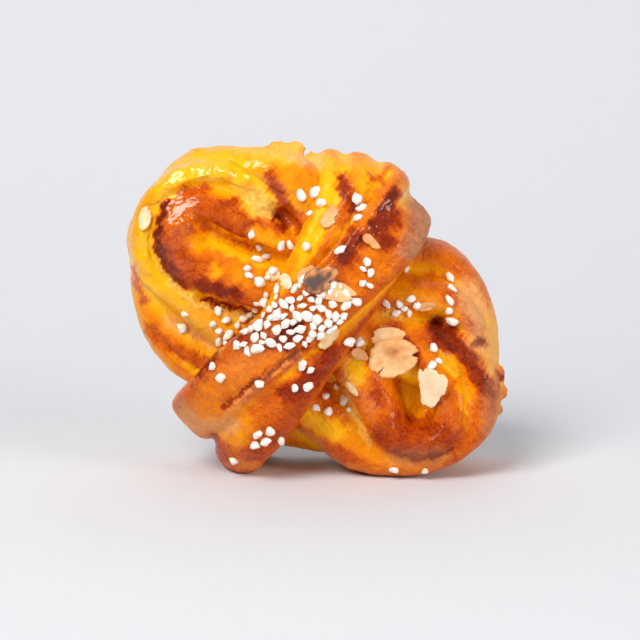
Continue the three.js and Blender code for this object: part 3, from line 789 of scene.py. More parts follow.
def pathShare(x, z, rise, line, wide, deep=strokePlan["deep"]):
    # 1 on the line and 0 past its reach, and only where the dough rises higher than deep
    path = np.array(line, float)
    far = np.full(len(x), np.inf)
    spots = np.stack([x, z], 1)
    for start, end in zip(path, path[1:] if len(path) > 1 else path):
        run = end - start
        share = np.clip((spots - start) @ run / max(run @ run, 1e-9), 0, 1)[:, None]
        far = np.minimum(far, np.linalg.norm(spots - start - share * run, axis=1))
    soft = strokePlan["softRise"]
    return (1 - smoothStep(*strokePlan["edge"], far / wide)) * smoothStep(deep - soft, deep + soft, rise)


def painted(values, x, z, rise, strokes):
    for line, wide, to, *deep in strokes:
        values = values + (to - values) * pathShare(x, z, rise, line, wide, *deep)
    return values


finish = {
    "facing": (-0.22, -0.9, 0.385),  # the way that the flat spots of the crust look
    "creaseRounds": 14,
    "creaseFill": 0.5,  # share of a crease's depth that fills up
    "bulgeRounds": (40, 160),  # rounds of evening out that the two scales of bulge are measured from
    "bulgeToast": (0.25, 0.3),  # toast for each millimetre by which the dough stands out
    "bakeShare": 0.78,  # how far the strands' own bake counts
    "contrast": 1.3,  # above 1 it clears the half baked dough and keeps the darkest spots
    "faceToast": 0.1,  # more toast on what faces the oven's heat, straight off the tray
    "sideToast": 0.42,
    "sideShare": 0.7,  # how far the sides take that toast
    "sideRise": (4, 15),  # rises between which that ends
    "backToast": 0.72,  # the baked back
    "backRise": (4, 11),
    "dryShare": 0.5,  # how matt the sides are
    "dryRise": (8, 16),
    "seamJump": 3,  # a longer jump of the pattern between neighbours marks a seam
    "seamRounds": 5,
    "seamGain": 4,
    "lumps": 0.9,  # heights of the relief
    "glints": 0.34,
    "wrinkles": 3.6,
    "torn": 1.2,
    "blister": 1.3,
}


def cushionSkin(name, spot, rise, radii, offset):
    # packed dough: a ball flattened towards its front and back
    form = bmesh.new()
    bmesh.ops.create_uvsphere(form, u_segments=64, v_segments=40, radius=1)
    middle = place(*spot, rise)
    for vertex in form.verts:
        x, y, z = vertex.co
        deep = math.copysign(abs(y) ** 0.45, y)
        vertex.co = middle + np.array([x, deep, z]) * radii * mm
    return ballThing(name, form, offset, 0.3)


def knobSkin(name, spot, rise, radii, offset):
    # a lump of torn crumb
    form = bmesh.new()
    bmesh.ops.create_icosphere(form, subdivisions=5, radius=1)
    middle = place(*spot, rise)
    for vertex in form.verts:
        rough = 0.86 + 0.3 * noise.fractal(vertex.co * 2.2 + Vector((offset, 0, 0)), 0.6, 2, 4)
        vertex.co = middle + np.array(vertex.co) * rough * radii * mm
    return ballThing(name, form, offset, 0.02)


def ballThing(name, form, offset, bake):
    mesh = bpy.data.meshes.new(name)
    form.to_mesh(mesh)
    form.free()
    note(mesh, "straight", readPoints(mesh) + np.array([offset, 0, 0]))
    note(mesh, "bake", np.full(len(mesh.vertices), bake))
    return added(name, mesh)


def strandSkin(name, strand, rows, offset):
    path, length = strandPath(name, rows, strand.get("closed", False), strand.get("heading"))
    cap = 0.0 if strand.get("closed") else strandPlan["capReach"] * mm / length
    runTree(path, skinTree, Rings=round(length * (1 + 2 * cap) / (strandPlan["pitch"] * coarser * mm)),
            Sides=round(strandPlan["sides"] / coarser) + 1,
            Power=float(strand.get("power", bun["sectionPower"])), Cap=cap, Length=length,
            Uneven=strandPlan["uneven"] * mm, Wander=float(strandPlan["wander"]), Offset=offset, Skin=crust)
    return path


def pressFlat(points):
    # what the tray and the standing surface have pressed flat
    points = points.copy()
    backPlane = (bun["depth"] / 2 - bun["backTrim"] + bun["shift"][1]) * mm
    points[:, 1] = np.minimum(points[:, 1], backPlane)
    points[:, 2] = np.maximum(points[:, 2], 0)
    return points


def fillCreases(mesh):
    # dough swells into the sharpest creases between its strands, and its ridges stay
    points, normals, edges = readPoints(mesh), readNormals(mesh), readEdges(mesh)
    level = spreadOut(points, edges, round(finish["creaseRounds"] / coarser ** 2))
    hollow = np.clip(((level - points) * normals).sum(1), 0, None)
    writePoints(mesh, points + normals * (hollow * finish["creaseFill"])[:, None])


def pressFolds(mesh, grooves):
    # folds and ridges that are finer than the strands
    points, normals = readPoints(mesh), readNormals(mesh)
    x, z, rise = faceOf(points)
    for line, wide, depth, deep in grooves:
        share = pathShare(x, z, rise, line, wide, deep)
        points = points - normals * (share * depth * mm)[:, None]
    writePoints(mesh, points)


def pressFacets(mesh, facets):
    # spots where the crust is nearly flat, so that they shine as one patch
    points = readPoints(mesh)
    x, z, rise = faceOf(points)
    normal = np.array(finish["facing"]) / np.linalg.norm(finish["facing"])
    below, above = facetPlan["softRise"]
    for (atX, atZ), wide, deep, flat in facets:
        far = np.hypot(x - atX, z - atZ) / wide
        there = (far < facetPlan["level"]) & (rise > deep)
        height = (points - points[there].mean(0)) @ normal
        share = (1 - smoothStep(*facetPlan["edge"], far)) * smoothStep(deep - below, deep + above, rise)
        share = share * np.exp(-(height / (facetPlan["press"] * mm)) ** 2) * flat
        points = points - normal * (height * share)[:, None]
    writePoints(mesh, points)


def makeDough(name, plan):
    skins = []
    offset = 0.0
    for stations, kind in ((coilStations, "coils"), (wrapStations, "wraps")):
        for strandName, strand in plan.get(kind, {}).items():
            skins.append(strandSkin(strandName, strand, stations(strand), offset))
            offset += strandPlan["apart"]
    for number, cushion in enumerate(plan["cushions"]):
        skins.append(cushionSkin(f"{name}Cushion{number}", *cushion, offset))
    for number, knob in enumerate(plan["knobs"]):
        skins.append(knobSkin(f"{name}Knob{number}", *knob, offset + number + 1))
    for skin in skins:
        writePoints(skin.data, pressFlat(readPoints(skin.data)))
    strands = joined(name + "Strands", skins)
    swell = plan["swell"] * mm

    dough = added(name, strands.data.copy())
    writePoints(dough.data, readPoints(dough.data) + readNormals(dough.data) * swell)
    remesh = dough.modifiers.new("oneSkin", "REMESH")
    remesh.mode = "VOXEL"
    remesh.voxel_size = plan["voxel"] * coarser * mm
    smooth = dough.modifiers.new("soften", "SMOOTH")
    smooth.iterations = 3
    settle(dough)
    keepLargestShell(dough.data)
    writePoints(dough.data, readPoints(dough.data) - readNormals(dough.data) * swell)
    fillCreases(dough.data)
    pressFolds(dough.data, plan["grooves"])
    pressFacets(dough.data, plan.get("facets", ()))
    runTree(dough, carryTree, Strands=strands, Skin=crust)
    drop(strands)
    bakeDough(dough.data, name)
    reliefs = ("lumps", "glints", "wrinkles", "torn", "blister")
    runTree(dough, crustTree, Skin=crust, **{key.capitalize(): finish[key] * mm for key in reliefs})
    writePoints(dough.data, pressFlat(readPoints(dough.data)))
    shadeSmooth(dough.data)
    print(name, len(dough.data.polygons) * 2, "triangles")
    return dough


def seamShare(mesh, edges):
    # 1 where one strand meets the next, so that no pattern is cut off there with a step
    straight = readRows(mesh.attributes["straight"].data, "vector").astype(float)
    jump = np.linalg.norm(straight[edges[:, 0]] - straight[edges[:, 1]], axis=1) > finish["seamJump"] * mm
    seam = np.zeros(len(straight))
    seam[edges[jump].ravel()] = 1
    spread = spreadOut(seam, edges, round(finish["seamRounds"] / coarser ** 2))[:, 0]
    return np.clip(spread * finish["seamGain"], 0, 1)


def bakeDough(mesh, name):
    # works out how the oven browned each point
    points, normals, edges = readPoints(mesh), readNormals(mesh), readEdges(mesh)
    x, z, rise = faceOf(points)
    toast = readRows(mesh.attributes["bake"].data, "value", 1)[:, 0].astype(float) * finish["bakeShare"]
    for rounds, gain in zip(finish["bulgeRounds"], finish["bulgeToast"]):
        level = spreadOut(points, edges, round(rounds / coarser ** 2))
        bulge = ((points - level) * normals).sum(1) / mm
        toast = toast + np.clip(bulge, -0.3, 0.6) * gain
    facing = np.clip(-normals[:, 1], 0, 1)
    toast = toast + finish["faceToast"] * (facing - 0.6)
    # waves in the spots, so that the edges of the strokes wander
    x, z = (x + 0.55 * np.sin(1.3 * z + 0.6 * x) + 0.35 * np.sin(3.1 * x - 2.3 * z),
            z + 0.55 * np.sin(1.1 * x - 0.7 * z) + 0.35 * np.sin(2.7 * z + 2.9 * x))
    toast = painted(toast, x, z, rise, browningAndPaintedLight[name])
    side = finish["sideShare"] * (1 - smoothStep(*finish["sideRise"], rise))
    toast = toast + (finish["sideToast"] - toast) * side
    back = smoothStep(0.3, 0.8, normals[:, 1]) * (1 - smoothStep(*finish["backRise"], rise))
    toast = toast + (finish["backToast"] - toast) * back
    worn = {key: painted(np.zeros(len(x)), x, z, rise, strokes) for key, strokes in surfaces.items()}
    worn["glaze"] = worn["glaze"] * (1 - seamShare(mesh, edges))
    mattSide = finish["dryShare"] * (1 - smoothStep(*finish["dryRise"], rise))
    worn["dry"] = np.maximum(np.maximum(worn["dry"], back), mattSide)
    note(mesh, "toast", np.clip(toast, 0, 1) ** finish["contrast"])
    for key, values in worn.items():
        note(mesh, key, np.clip(values, 0, 1))


# finishes

def newFinish(name):
    material = bpy.data.materials.new(name)
    material.use_nodes = True
    material.node_tree.nodes.clear()
    return material, Bench(material.node_tree)


def closeFinish(bench, **values):
    shader = bench.node("ShaderNodeBsdfPrincipled", None, **values)
    bench.node("ShaderNodeOutputMaterial", None, shader)


crustLooks = {
    # toast 0 to 1: raw saffron yellow, gold, orange, brown, dark brown, burnt
    "stops": [(0.0, (0.98, 0.50, 0.003)), (0.2, (0.93, 0.36, 0.002)), (0.4, (0.80, 0.19, 0.002)),
              (0.6, (0.57, 0.08, 0.002)), (0.8, (0.29, 0.018, 0.002)), (1.0, (0.10, 0.007, 0.002))],
    # the same without glaze, for matt dough; its pale pinks also make painted sheen
    "mattAndSheenStops": [(0.0, (0.88, 0.56, 0.20)), (0.3, (0.80, 0.38, 0.15)), (0.6, (0.52, 0.21, 0.10)),
                 (1.0, (0.12, 0.035, 0.018))],
    "crumb": (1.0, 0.68, 0.17),
    "gap": (0.90, 0.42, 0.06),
}


def crustFinish():
    material, bench = newFinish("crustFinish")
    spot = bench.spot()
    straight = bench.attribute("straight", "Vector")
    toast, dry, torn, blister, glaze, shine = (
        bench.attribute(name) for name in ("toast", "dry", "torn", "blister", "glaze", "shine"))
    clouds = bench.noise(spot, 190.0, 2, 0.5) - 0.5
    mottles = bench.noise(spot, 520.0, 3, 0.6) - 0.5
    freckles = bench.noise(spot, 1300.0, 2, 0.6)
    streaks = bench.noise(bench.vector("MULTIPLY", straight, (1, 6, 6)), 130.0, 2) - 0.5
    patchy = toast * (1.15 - toast) * 2.2  # brown mottles most where the crust is half baked
    mottled = (toast + clouds * (0.1 + patchy * 0.22) + mottles * (0.12 + patchy * 0.22)
               + streaks * 0.12 * (1 - dry))
    speck = bench.ramp(freckles, 0.55, 0.66) * bench.ramp(toast, 0.2, 0.6)
    blotch = bench.ramp(bench.noise(spot, 400.0, 3, 0.7), 0.48, 0.68) * bench.ramp(toast, 0.15, 0.5)
    baked = (mottled + speck * 0.11 + blotch * 0.06).most(0).least(0.97)
    colour = bench.blend(dry, bench.colours(baked, crustLooks["stops"]),
                         bench.colours(baked, crustLooks["mattAndSheenStops"]))
    crumbShade = bench.noise(spot, 800.0, 3, 0.6)
    crumb = bench.blend(bench.ramp(crumbShade, 0.35, 0.6), crustLooks["gap"], crustLooks["crumb"])
    pores = bench.blend(bench.ramp(toast, 0.1, 0.7), crumb, colour)
    colour = bench.blend(torn * 0.85, colour, pores)

    grain = bench.noise(spot, 1500.0, 3, 0.6)
    pits = bench.ramp(bench.noise(spot, 620.0, 2, 0.55), 0.36, 0.52)  # 0 in the small pits of the crust
    wrinkles = bench.noise(bench.vector("MULTIPLY", straight, (1.0, 0.35, 0.35)), 620.0, 2, 0.5)
    height = (grain * (0.22 + torn * 0.9 + dry * 0.3) + pits * (0.1 + toast * 0.3) * (1 - torn)
              + wrinkles * glaze * 1.2 + freckles * blister * 1.2)
    bump = bench.bump(height, 0.85, 0.001)
    sheen = bench.noise(spot, 260.0, 2)
    roughness = (0.3 + sheen * 0.14 + dry * 0.25 + torn * 0.4 - glaze * 0.06).least(0.95)
    gloss = bench.ramp(bench.noise(spot, 330.0, 2), 0.32, 0.6)
    coat = ((0.04 + gloss * 0.16 + shine * 0.8) * (1 - dry * 0.85) * (1 - torn)).most(0).least(1)
    closeFinish(bench, Base_Color=colour, Roughness=roughness, Coat_Weight=coat, Normal=bump,
                Coat_Roughness=0.1, Specular_IOR_Level=0.24, Specular_Tint=(1.0, 0.66, 0.25, 1.0),
                Subsurface_Weight=0.1, Subsurface_Radius=(1.0, 0.42, 0.12), Subsurface_Scale=0.0022)
    return material


def pearlFinish():
    material, bench = newFinish("pearlFinish")
    spot = bench.spot()
    paintedBounce = bench.attribute("paintedBounce")
    grain = bench.noise(spot, 1100.0, 3, 0.6)
    white = bench.blend(bench.ramp(grain, 0.3, 0.75), (0.86, 0.78, 0.68), (0.98, 0.95, 0.90))
    # painted bounce light: near its foot the sugar takes the warm colour of the dough under it
    colour = bench.blend(bench.ramp(paintedBounce, 0.0, 1.0) * 0.55, white, (0.95, 0.66, 0.36))
    closeFinish(bench, Base_Color=colour, Roughness=0.5, Normal=bench.bump(grain, 0.35, 0.0003),
                Subsurface_Weight=0.55, Subsurface_Radius=(1.0, 0.8, 0.6), Subsurface_Scale=0.0012)
    return material


def almondFinish():
    material, bench = newFinish("almondFinish")
    spot = bench.spot()
    rim, toasted = bench.attribute("rim"), bench.attribute("toasted")
    clouds = bench.noise(spot, 320.0, 3, 0.6)
    fibres = bench.noise(bench.vector("MULTIPLY", spot, (1, 1, 4)), 900.0, 2)
    level = (toasted + bench.ramp(rim, 0.86, 1.0) * 0.2 + (clouds - 0.5) * 0.5
             + (fibres - 0.5) * 0.12).most(0).least(1)
    colour = bench.colours(level, [
        (0.0, (0.95, 0.76, 0.50)), (0.12, (0.92, 0.62, 0.30)), (0.3, (0.84, 0.42, 0.14)),
        (0.55, (0.66, 0.25, 0.07)), (0.8, (0.26, 0.10, 0.05)), (1.0, (0.11, 0.065, 0.05))])
    closeFinish(bench, Base_Color=colour, Roughness=0.48, Normal=bench.bump(fibres + clouds, 0.3, 0.0004),
                Subsurface_Weight=0.2, Subsurface_Radius=(1.0, 0.6, 0.3), Subsurface_Scale=0.001)
    return material


def crumbFinish():
    material, bench = newFinish("crumbFinish")
    spot = bench.spot()
    colour = bench.colours(bench.noise(spot, 500.0, 2), [
        (0.3, (0.42, 0.15, 0.03)), (0.48, (0.88, 0.50, 0.06)), (0.7, (0.93, 0.66, 0.20))])
    bump = bench.bump(bench.noise(spot, 1600.0, 2), 0.5, 0.0003)
    closeFinish(bench, Base_Color=colour, Roughness=0.75, Normal=bump, Subsurface_Weight=0.2,
                Subsurface_Radius=(1.0, 0.5, 0.15), Subsurface_Scale=0.0008)
    return material


crust, pearl, almond, crumbs = crustFinish(), pearlFinish(), almondFinish(), crumbFinish()
print("finishes made")

skinTree, carryTree, crustTree = strandSkinTree(), carryOverTree(), reliefTree()
doughPlans = {"leftLobe": leftLobe, "rightLobe": rightLobe, "beltAndFolds": beltAndFolds}
doughs = [makeDough(name, plan) for name, plan in doughPlans.items()]
print("dough made")


# toppings

def surfaceUnder(things):
    # the skins of the things as one surface that rays can be sent at
    points, faces, start = [], [], 0
    for thing in things:
        mesh = thing.data
        points.append(readPoints(mesh))
        faces.extend([[v + start for v in p.vertices] for p in mesh.polygons])
        start += len(mesh.vertices)
    return BVHTree.FromPolygons(np.concatenate(points).tolist(), faces)


under = surfaceUnder(doughs)


def frontHit(x, z):
    start = Vector(place(x, z, 3 * bun["depth"]))
    return under.ray_cast(start, Vector((0, 1, 0)))[0]


def restingPlace(x, z, reach):
    # where a topping of that reach lies: its middle and the turn that brings its Y straight out
    middle = frontHit(x, z)
    if middle is None:
        return None
    left, right, low, high = (frontHit(x + dx * reach, z + dz * reach) or middle
                              for dx, dz in ((-1, 0), (1, 0), (0, -1), (0, 1)))
    out = (right - left).cross(high - low).normalized()
    across = (Vector((1, 0, 0)) - out * out.x).normalized()
    turn = Matrix((across, out, across.cross(out))).transposed()
    return middle, out, turn


sugar = {
    "size": 2.95,  # mean length of one pearl
    "apart": 2.9,  # least distance between the middles of the pearls of the solid
    "apartMore": 1.9,  # the same for the smaller ones that only the finish has
    "sunk": 0.24,  # share of a pearl's height that is baked into the dough
    "long": (0.8, 0.5),  # least length and its spread, as shares of the size
    "high": 0.31,  # half height as a share of the length
    "wide": (0.33, 0.12),  # half width and its spread, as shares of the length
    "tries": 12,  # draws for each pearl before its patch counts as full
    "corners": 8,  # draws that each pearl of the solid spends on its corners
    "seed": 5,
    "shareMore": 0.78,  # size of the smaller ones, and how much higher they lie
    "liftMore": 0.3,
    "kinds": 9,
    "kindSeed": 3,
    "sides": 11,  # broken faces of a grain, how far out they lie and the spread of that
    "sideReach": (0.72, 0.33),
    "sharp": 9,  # how sharply they meet
    "most": 1.25,  # the furthest that a corner reaches
    "rough": ((0.18, 1.3, (7.3, 0, 0)), (0.09, 4.5, (0, 5.1, 0))),  # height, waves and shift by kind
    "chipSeed": 23,
    # reach of the painted bounce light from the dough
    "paintedBounceReach": 1.2,
    # middle, half length and width, lean in degrees, pearls of the solid, and more of them here
    "patches": [
        ((-6.5, 54.5), (15.5, 9), 22, 32, 38), ((-21, 47), (5.5, 4.5), 0, 9, 5),
        ((-29.5, 48.5), (3, 6), 0, 7, 2), ((-19, 65.5), (5, 5.5), 0, 5, 2),
        ((25, 55.5), (5, 3), 0, 7, 2), ((13.5, 66), (1.5, 4), 0, 3, 2),
        ((-16, 15.5), (4.5, 3), 0, 5, 0), ((-26.5, 7.5), (0.5, 0.5), 0, 1, 0),
        ((-6.5, 34.5), (4.5, 6), 0, 4, 0), ((-17.5, 32.5), (1, 1), 0, 1, 0),
        ((10.5, 59), (1, 1), 0, 1, 0), ((4, 25), (6, 6.5), 0, 5, 1),
        ((40.5, 56.5), (3, 7), 0, 4, 1), ((26.5, 65), (2, 0.5), 0, 2, 0),
        ((-7, 74), (6.5, 1), 0, 3, 0), ((7, 73), (1, 1), 0, 1, 0),
        ((-3.5, 85), (4.5, 5), 0, 4, 0), ((11, 85), (6.5, 4), 0, 3, 0),
        ((10, 45), (3, 1), 0, 2, 0), ((35.5, 39.5), (3, 4), 0, 2, 1),
        ((23, 4), (12, 0.5), 0, 2, 0), ((-41.5, 49), (5, 10), -30, 2, 0),
        ((-22, 75), (6, 4), 30, 2, 0), ((-30.5, 36.5), (3, 1.5), -45, 2, 0),
    ],
}


def pearlSpots(patch, count, apart, taken, draw):
    middle, spread, lean = patch[:3]
    turn = math.radians(lean)
    spots = []
    for _ in range(count * sugar["tries"]):
        if len(spots) == count:
            break
        far = math.sqrt(next(draw))
        angle = 2 * math.pi * next(draw)
        along, across = spread[0] * far * math.cos(angle), spread[1] * far * math.sin(angle)
        x = middle[0] + along * math.cos(turn) - across * math.sin(turn)
        z = middle[1] + along * math.sin(turn) + across * math.cos(turn)
        if all(math.hypot(x - tx, z - tz) >= apart for tx, tz in taken):
            spots.append((x, z))
            taken.append((x, z))
    return spots


def pearlRows():
    # position, turn and size of every pearl: first those of the solid, in its own order of draws
    draw, taken, rows = seededDraw(sugar["seed"]), [], []

    def lay(x, z, share, lift):
        long = sugar["size"] * (sugar["long"][0] + sugar["long"][1] * next(draw)) * share
        high = long * sugar["high"]
        wide = long * (sugar["wide"][0] + sugar["wide"][1] * next(draw))
        for _ in range(sugar["corners"]):
            next(draw)
        rest = restingPlace(x, z, sugar["size"] / 2)
        if rest is None:
            return
        middle, out, turn = rest
        spin = Matrix.Rotation(2 * math.pi * next(draw), 3, "Y")
        spot = middle + out * (high * (1 - 2 * sugar["sunk"]) + lift) * mm
        rows.append((spot, (turn @ spin).to_euler(), (long / 2, high, wide)))

    for patch in sugar["patches"]:
        for x, z in pearlSpots(patch, patch[3], sugar["apart"], taken, draw):
            lay(x, z, 1, 0)
    for patch in sugar["patches"]:
        for x, z in pearlSpots(patch, patch[4], sugar["apartMore"], taken, draw):
            lay(x, z, sugar["shareMore"], sugar["liftMore"])
    return rows


def pearlKinds():
    # broken, slightly rounded grains of pressed sugar, each 2 across so that a pearl's half sizes scale them
    kinds = bpy.data.collections.new("pearlKinds")
    draw = seededDraw(sugar["chipSeed"])
    for number in range(sugar["kinds"]):
        sides = []
        least, spread = sugar["sideReach"]
        for step in range(sugar["sides"]):  # faces spread all round the grain, by the golden angle
            up = 1 - 2 * (step + 0.5) / sugar["sides"]
            angle = 2.4 * step + 1.5 * next(draw)
            side = Vector((math.cos(angle), math.sin(angle), 0)) * math.sqrt(1 - up * up)
            sides.append((side + Vector((0, 0, up)), least + spread * next(draw)))
        form = bmesh.new()
        bmesh.ops.create_icosphere(form, subdivisions=3, radius=1)
        for vertex in form.verts:
            ray = vertex.co.normalized()
            near = sum(max(ray.dot(side) / reach, 0.02) ** sugar["sharp"] for side, reach in sides)
            size = min(near ** (-1 / sugar["sharp"]), sugar["most"])
            rough = sum(high * noise.noise(ray * often + Vector(shift) * number)
                        for high, often, shift in sugar["rough"])
            vertex.co = ray * size * (1 + rough)
        thing = ballThing(f"pearlKind{number}", form, 0, 0)
        kinds.objects.link(thing)
        bpy.context.scene.collection.objects.unlink(thing)
        shadeSmooth(thing.data)
    return kinds


def scatterTree():
    # puts one of the kinds on each point, turned and sized as the point says
    bench, given = newTree("scatter", Collection="Kinds", Int="Seed", Material="Finish")
    points = bench.node("GeometryNodeMeshToPoints", None, given.of("Geometry"))
    kinds = bench.node("GeometryNodeCollectionInfo", None, given.of("Kinds"), True, True)
    pick = bench.node("FunctionNodeRandomValue", {"data_type": "INT"}, 0, 100, Seed=given.of("Seed"))
    laid = bench.node("GeometryNodeInstanceOnPoints", None, Points=points, Instance=kinds,
                      Pick_Instance=True, Instance_Index=pick,
                      Rotation=bench.carried("turn", "FLOAT_VECTOR"),
                      Scale=bench.carried("size", "FLOAT_VECTOR"))
    return closeTree(bench, laid, given.of("Finish"))


def scattered(name, rows, kinds, seed, material):
    spots, turns, sizes = zip(*rows)
    thing = newThing(name, spots)
    note(thing.data, "turn", [tuple(turn) for turn in turns])
    note(thing.data, "size", np.array(sizes) * mm)
    runTree(thing, layTree, Kinds=kinds, Seed=seed, Finish=material)
    for kind in list(kinds.objects):
        drop(kind)
    bpy.data.collections.remove(kinds)
    return thing


def notePaintedBounce(mesh, reach):
    # 1 where a topping touches the dough, 0 from the reach on: where the sugar takes painted warm bounce
    # light from the dough
    far = np.array([under.find_nearest(Vector(point))[3] for point in readPoints(mesh)])
    note(mesh, "paintedBounce", np.clip(1 - far / (reach * mm), 0, 1))


layTree = scatterTree()
pearlSugar = scattered("pearlSugar", pearlRows(), pearlKinds(), sugar["kindSeed"], pearl)
notePaintedBounce(pearlSugar.data, sugar["paintedBounceReach"])
print("pearl sugar laid", len(pearlSugar.data.polygons), "faces")


flakes = {
    "thick": 0.85,
    "taper": 0.22,  # how much narrower a flake gets towards its point
    "proud": 0.2,  # share of its thickness by which its middle stands clear of the dough
    "curl": 0.5,  # rise of both ends, where a flake gives none of its own
    "rings": (0.12, 0.25, 0.37, 0.5, 0.62, 0.73, 0.83, 0.91, 0.96, 1.0),  # shares of the way out
    "sides": 120,
    "ragged": ((0.16, 1.3), (0.08, 4.5), (0.05, 13)),  # heights and waves of the rim
    "apart": 3.7,  # between the flakes in the pattern of those waves
    # place, size, spin in degrees, toast, and what else is special: "lift" off the dough, "curl", "square"
    # corners, "notches" broken out of the rim (direction and half width in degrees, depth as a share) and
    # "burn", a toasted spot (place and reach as shares of the flake, and how dark)
    "list": {
        "cracked": ((22.5, 40), (17, 11.5), 18, 0.2, {"curl": 1.1, "lift": 0.9,
            "notches": [(144, 4, 0.5), (14, 14, 0.24), (200, 40, 0.1)], "burn": (0.1, -0.3, 0.32, 0.42)}),
        "behindCracked": ((20.5, 46), (11, 6), 8, 0.18, {"lift": 0.3, "notches": [(200, 16, 0.2)]}),
        "pale": ((34, 30.3), (12.2, 9.2), 264, -0.12, {"curl": 0.3, "square": 4.5,
            "notches": [(309, 34, 0.34), (200, 10, 0.08), (60, 14, 0.07), (150, 12, 0.06)]}),
        "sliver": ((10, 30), (5.5, 2.6), -38, 0.1, {"curl": 0.3}),
        "onBelt": ((5.5, 61), (10.5, 5.5), -10, 0.22, {"lift": 0.4,
            "notches": [(20, 15, 0.25), (250, 12, 0.15)]}),
        "toasted": ((0, 65), (11, 7), 30, 0.4, {"lift": 0.7,
            "notches": [(60, 12, 0.3), (180, 12, 0.2), (300, 14, 0.2)], "burn": (-0.25, 0, 0.75, 0.75)}),
        "besideToasted": ((-4, 66), (6.5, 4), 40, 0.3, {}),
        "lowOnBelt": ((2.5, 47.5), (8, 6), 35, 0.15, {"notches": [(90, 12, 0.3), (210, 15, 0.25)]}),
        "onPull": ((3, 82.5), (7.5, 5), 60, 0.3, {"lift": 0.3, "notches": [(80, 22, 0.5), (250, 14, 0.2)]}),
        "highOnBelt": ((15, 75.5), (6, 3), -40, 0.4, {"curl": 1.1, "lift": 0.2,
            "notches": [(90, 20, 0.3)]}),
        "onShoulder": ((32.5, 55), (6, 3), 5, 0.35, {"curl": 0.3}),
        "belowBelt": ((12, 40.5), (5.5, 3.5), -25, 0.35, {}),
        "inLoop": ((-14, 65), (4.5, 4), 0, 0.1, {}),
        "besidePull": ((-10, 63.5), (5.5, 4), -50, 0, {"notches": [(130, 18, 0.3)]}),
        "farLeft": ((-52.5, 82), (7.5, 4), 80, 0.05, {"notches": [(30, 14, 0.2)]}),
    },
}


def flakeSheet(number, size, toast, more):
    # a thin slice: rings of points on two faces, joined round the rim
    (long, wide), sides = size, flakes["sides"]
    curl, power = more.get("curl", flakes["curl"]), more.get("square", 2)
    burnX, burnZ, burnReach, burnTo = more.get("burn", (0, 0, 1, 0))
    outline = []
    for step in range(sides):
        angle = 2 * math.pi * step / sides
        ray = Vector((math.cos(angle), math.sin(angle), number * flakes["apart"]))
        edge = (abs(ray.x) ** power + abs(ray.y) ** power) ** (-1 / power)
        edge += sum(high * noise.noise(ray * often) for high, often in flakes["ragged"])
        for towards, half, depth in more.get("notches", ()):
            off = abs((math.degrees(angle) - towards + 180) % 360 - 180) / half
            edge -= depth * max(0.0, 1 - off * off)
        outline.append((edge * math.cos(angle), edge * math.sin(angle)))
    spots = [(0.0, 0.0, 0.0)]
    spots += [(x * reach, z * reach, reach) for reach in flakes["rings"] for x, z in outline]
    points, toasts = [], []
    for face in (1, -1):
        for x, z, reach in spots:
            wave = 0.5 * noise.noise(Vector((x * 1.2, z * 1.2, number)))
            thick = flakes["thick"] / 2 * (0.25 + 0.75 * math.sqrt(1 - reach ** 10))
            y = curl * x * x + wave + face * thick
            points.append((x * long / 2, y, z * wide / 2 * (1 - flakes["taper"] * x)))
            far = math.hypot(x - burnX, z - burnZ) / burnReach
            far *= 1 + 0.9 * noise.noise(Vector((x * 2.6, z * 2.6, number + 5)))
            toasts.append(toast + burnTo * math.exp(-far * far))
    count, last = len(spots), len(spots) - sides
    faces = []
    for step in range(sides):
        after = (step + 1) % sides
        for base in (0, count):
            faces.append((base, base + 1 + after, base + 1 + step))
            faces += [(ring + step, ring + after, ring + sides + after, ring + sides + step)
                      for ring in range(base + 1, base + last, sides)]
        faces.append((last + step, last + after, count + last + after, count + last + step))
    thing = newThing("flake", points, (), faces)
    note(thing.data, "rim", [reach for x, z, reach in spots] * 2)
    note(thing.data, "toasted", toasts)
    return thing


def layFlakes():
    things = []
    for number, (spot, size, spin, toast, more) in enumerate(flakes["list"].values()):
        thing = flakeSheet(number, size, toast, more)
        middle, out, turn = restingPlace(*spot, min(size) / 3)
        rest = middle + out * (flakes["thick"] * flakes["proud"] + more.get("lift", 0)) * mm
        about = Matrix.Rotation(math.radians(spin), 3, "Y")
        thing.data.transform(Matrix.Translation(rest) @ (turn @ about).to_4x4() @ Matrix.Scale(mm, 4))
        things.append(thing)
    whole = joined("almondFlakes", things)
    form = bmesh.new()  # turns every face outwards
    form.from_mesh(whole.data)
    bmesh.ops.recalc_face_normals(form, faces=form.faces)
    form.to_mesh(whole.data)
    form.free()
    whole.data.materials.append(almond)
    shadeSmooth(whole.data)
    return whole


almondFlakes = layFlakes()
print("almond flakes laid", len(almondFlakes.data.polygons), "faces")


crumbPlan = {
    "density": 40000,  # crumbs for each square metre of torn dough
    "size": (0.4, 1.3),
    "even": 0.85,  # size of the plain grain, how rough it is and the waves of that
    "rough": 0.6,
    "waves": 4,
    "seed": 8,
}


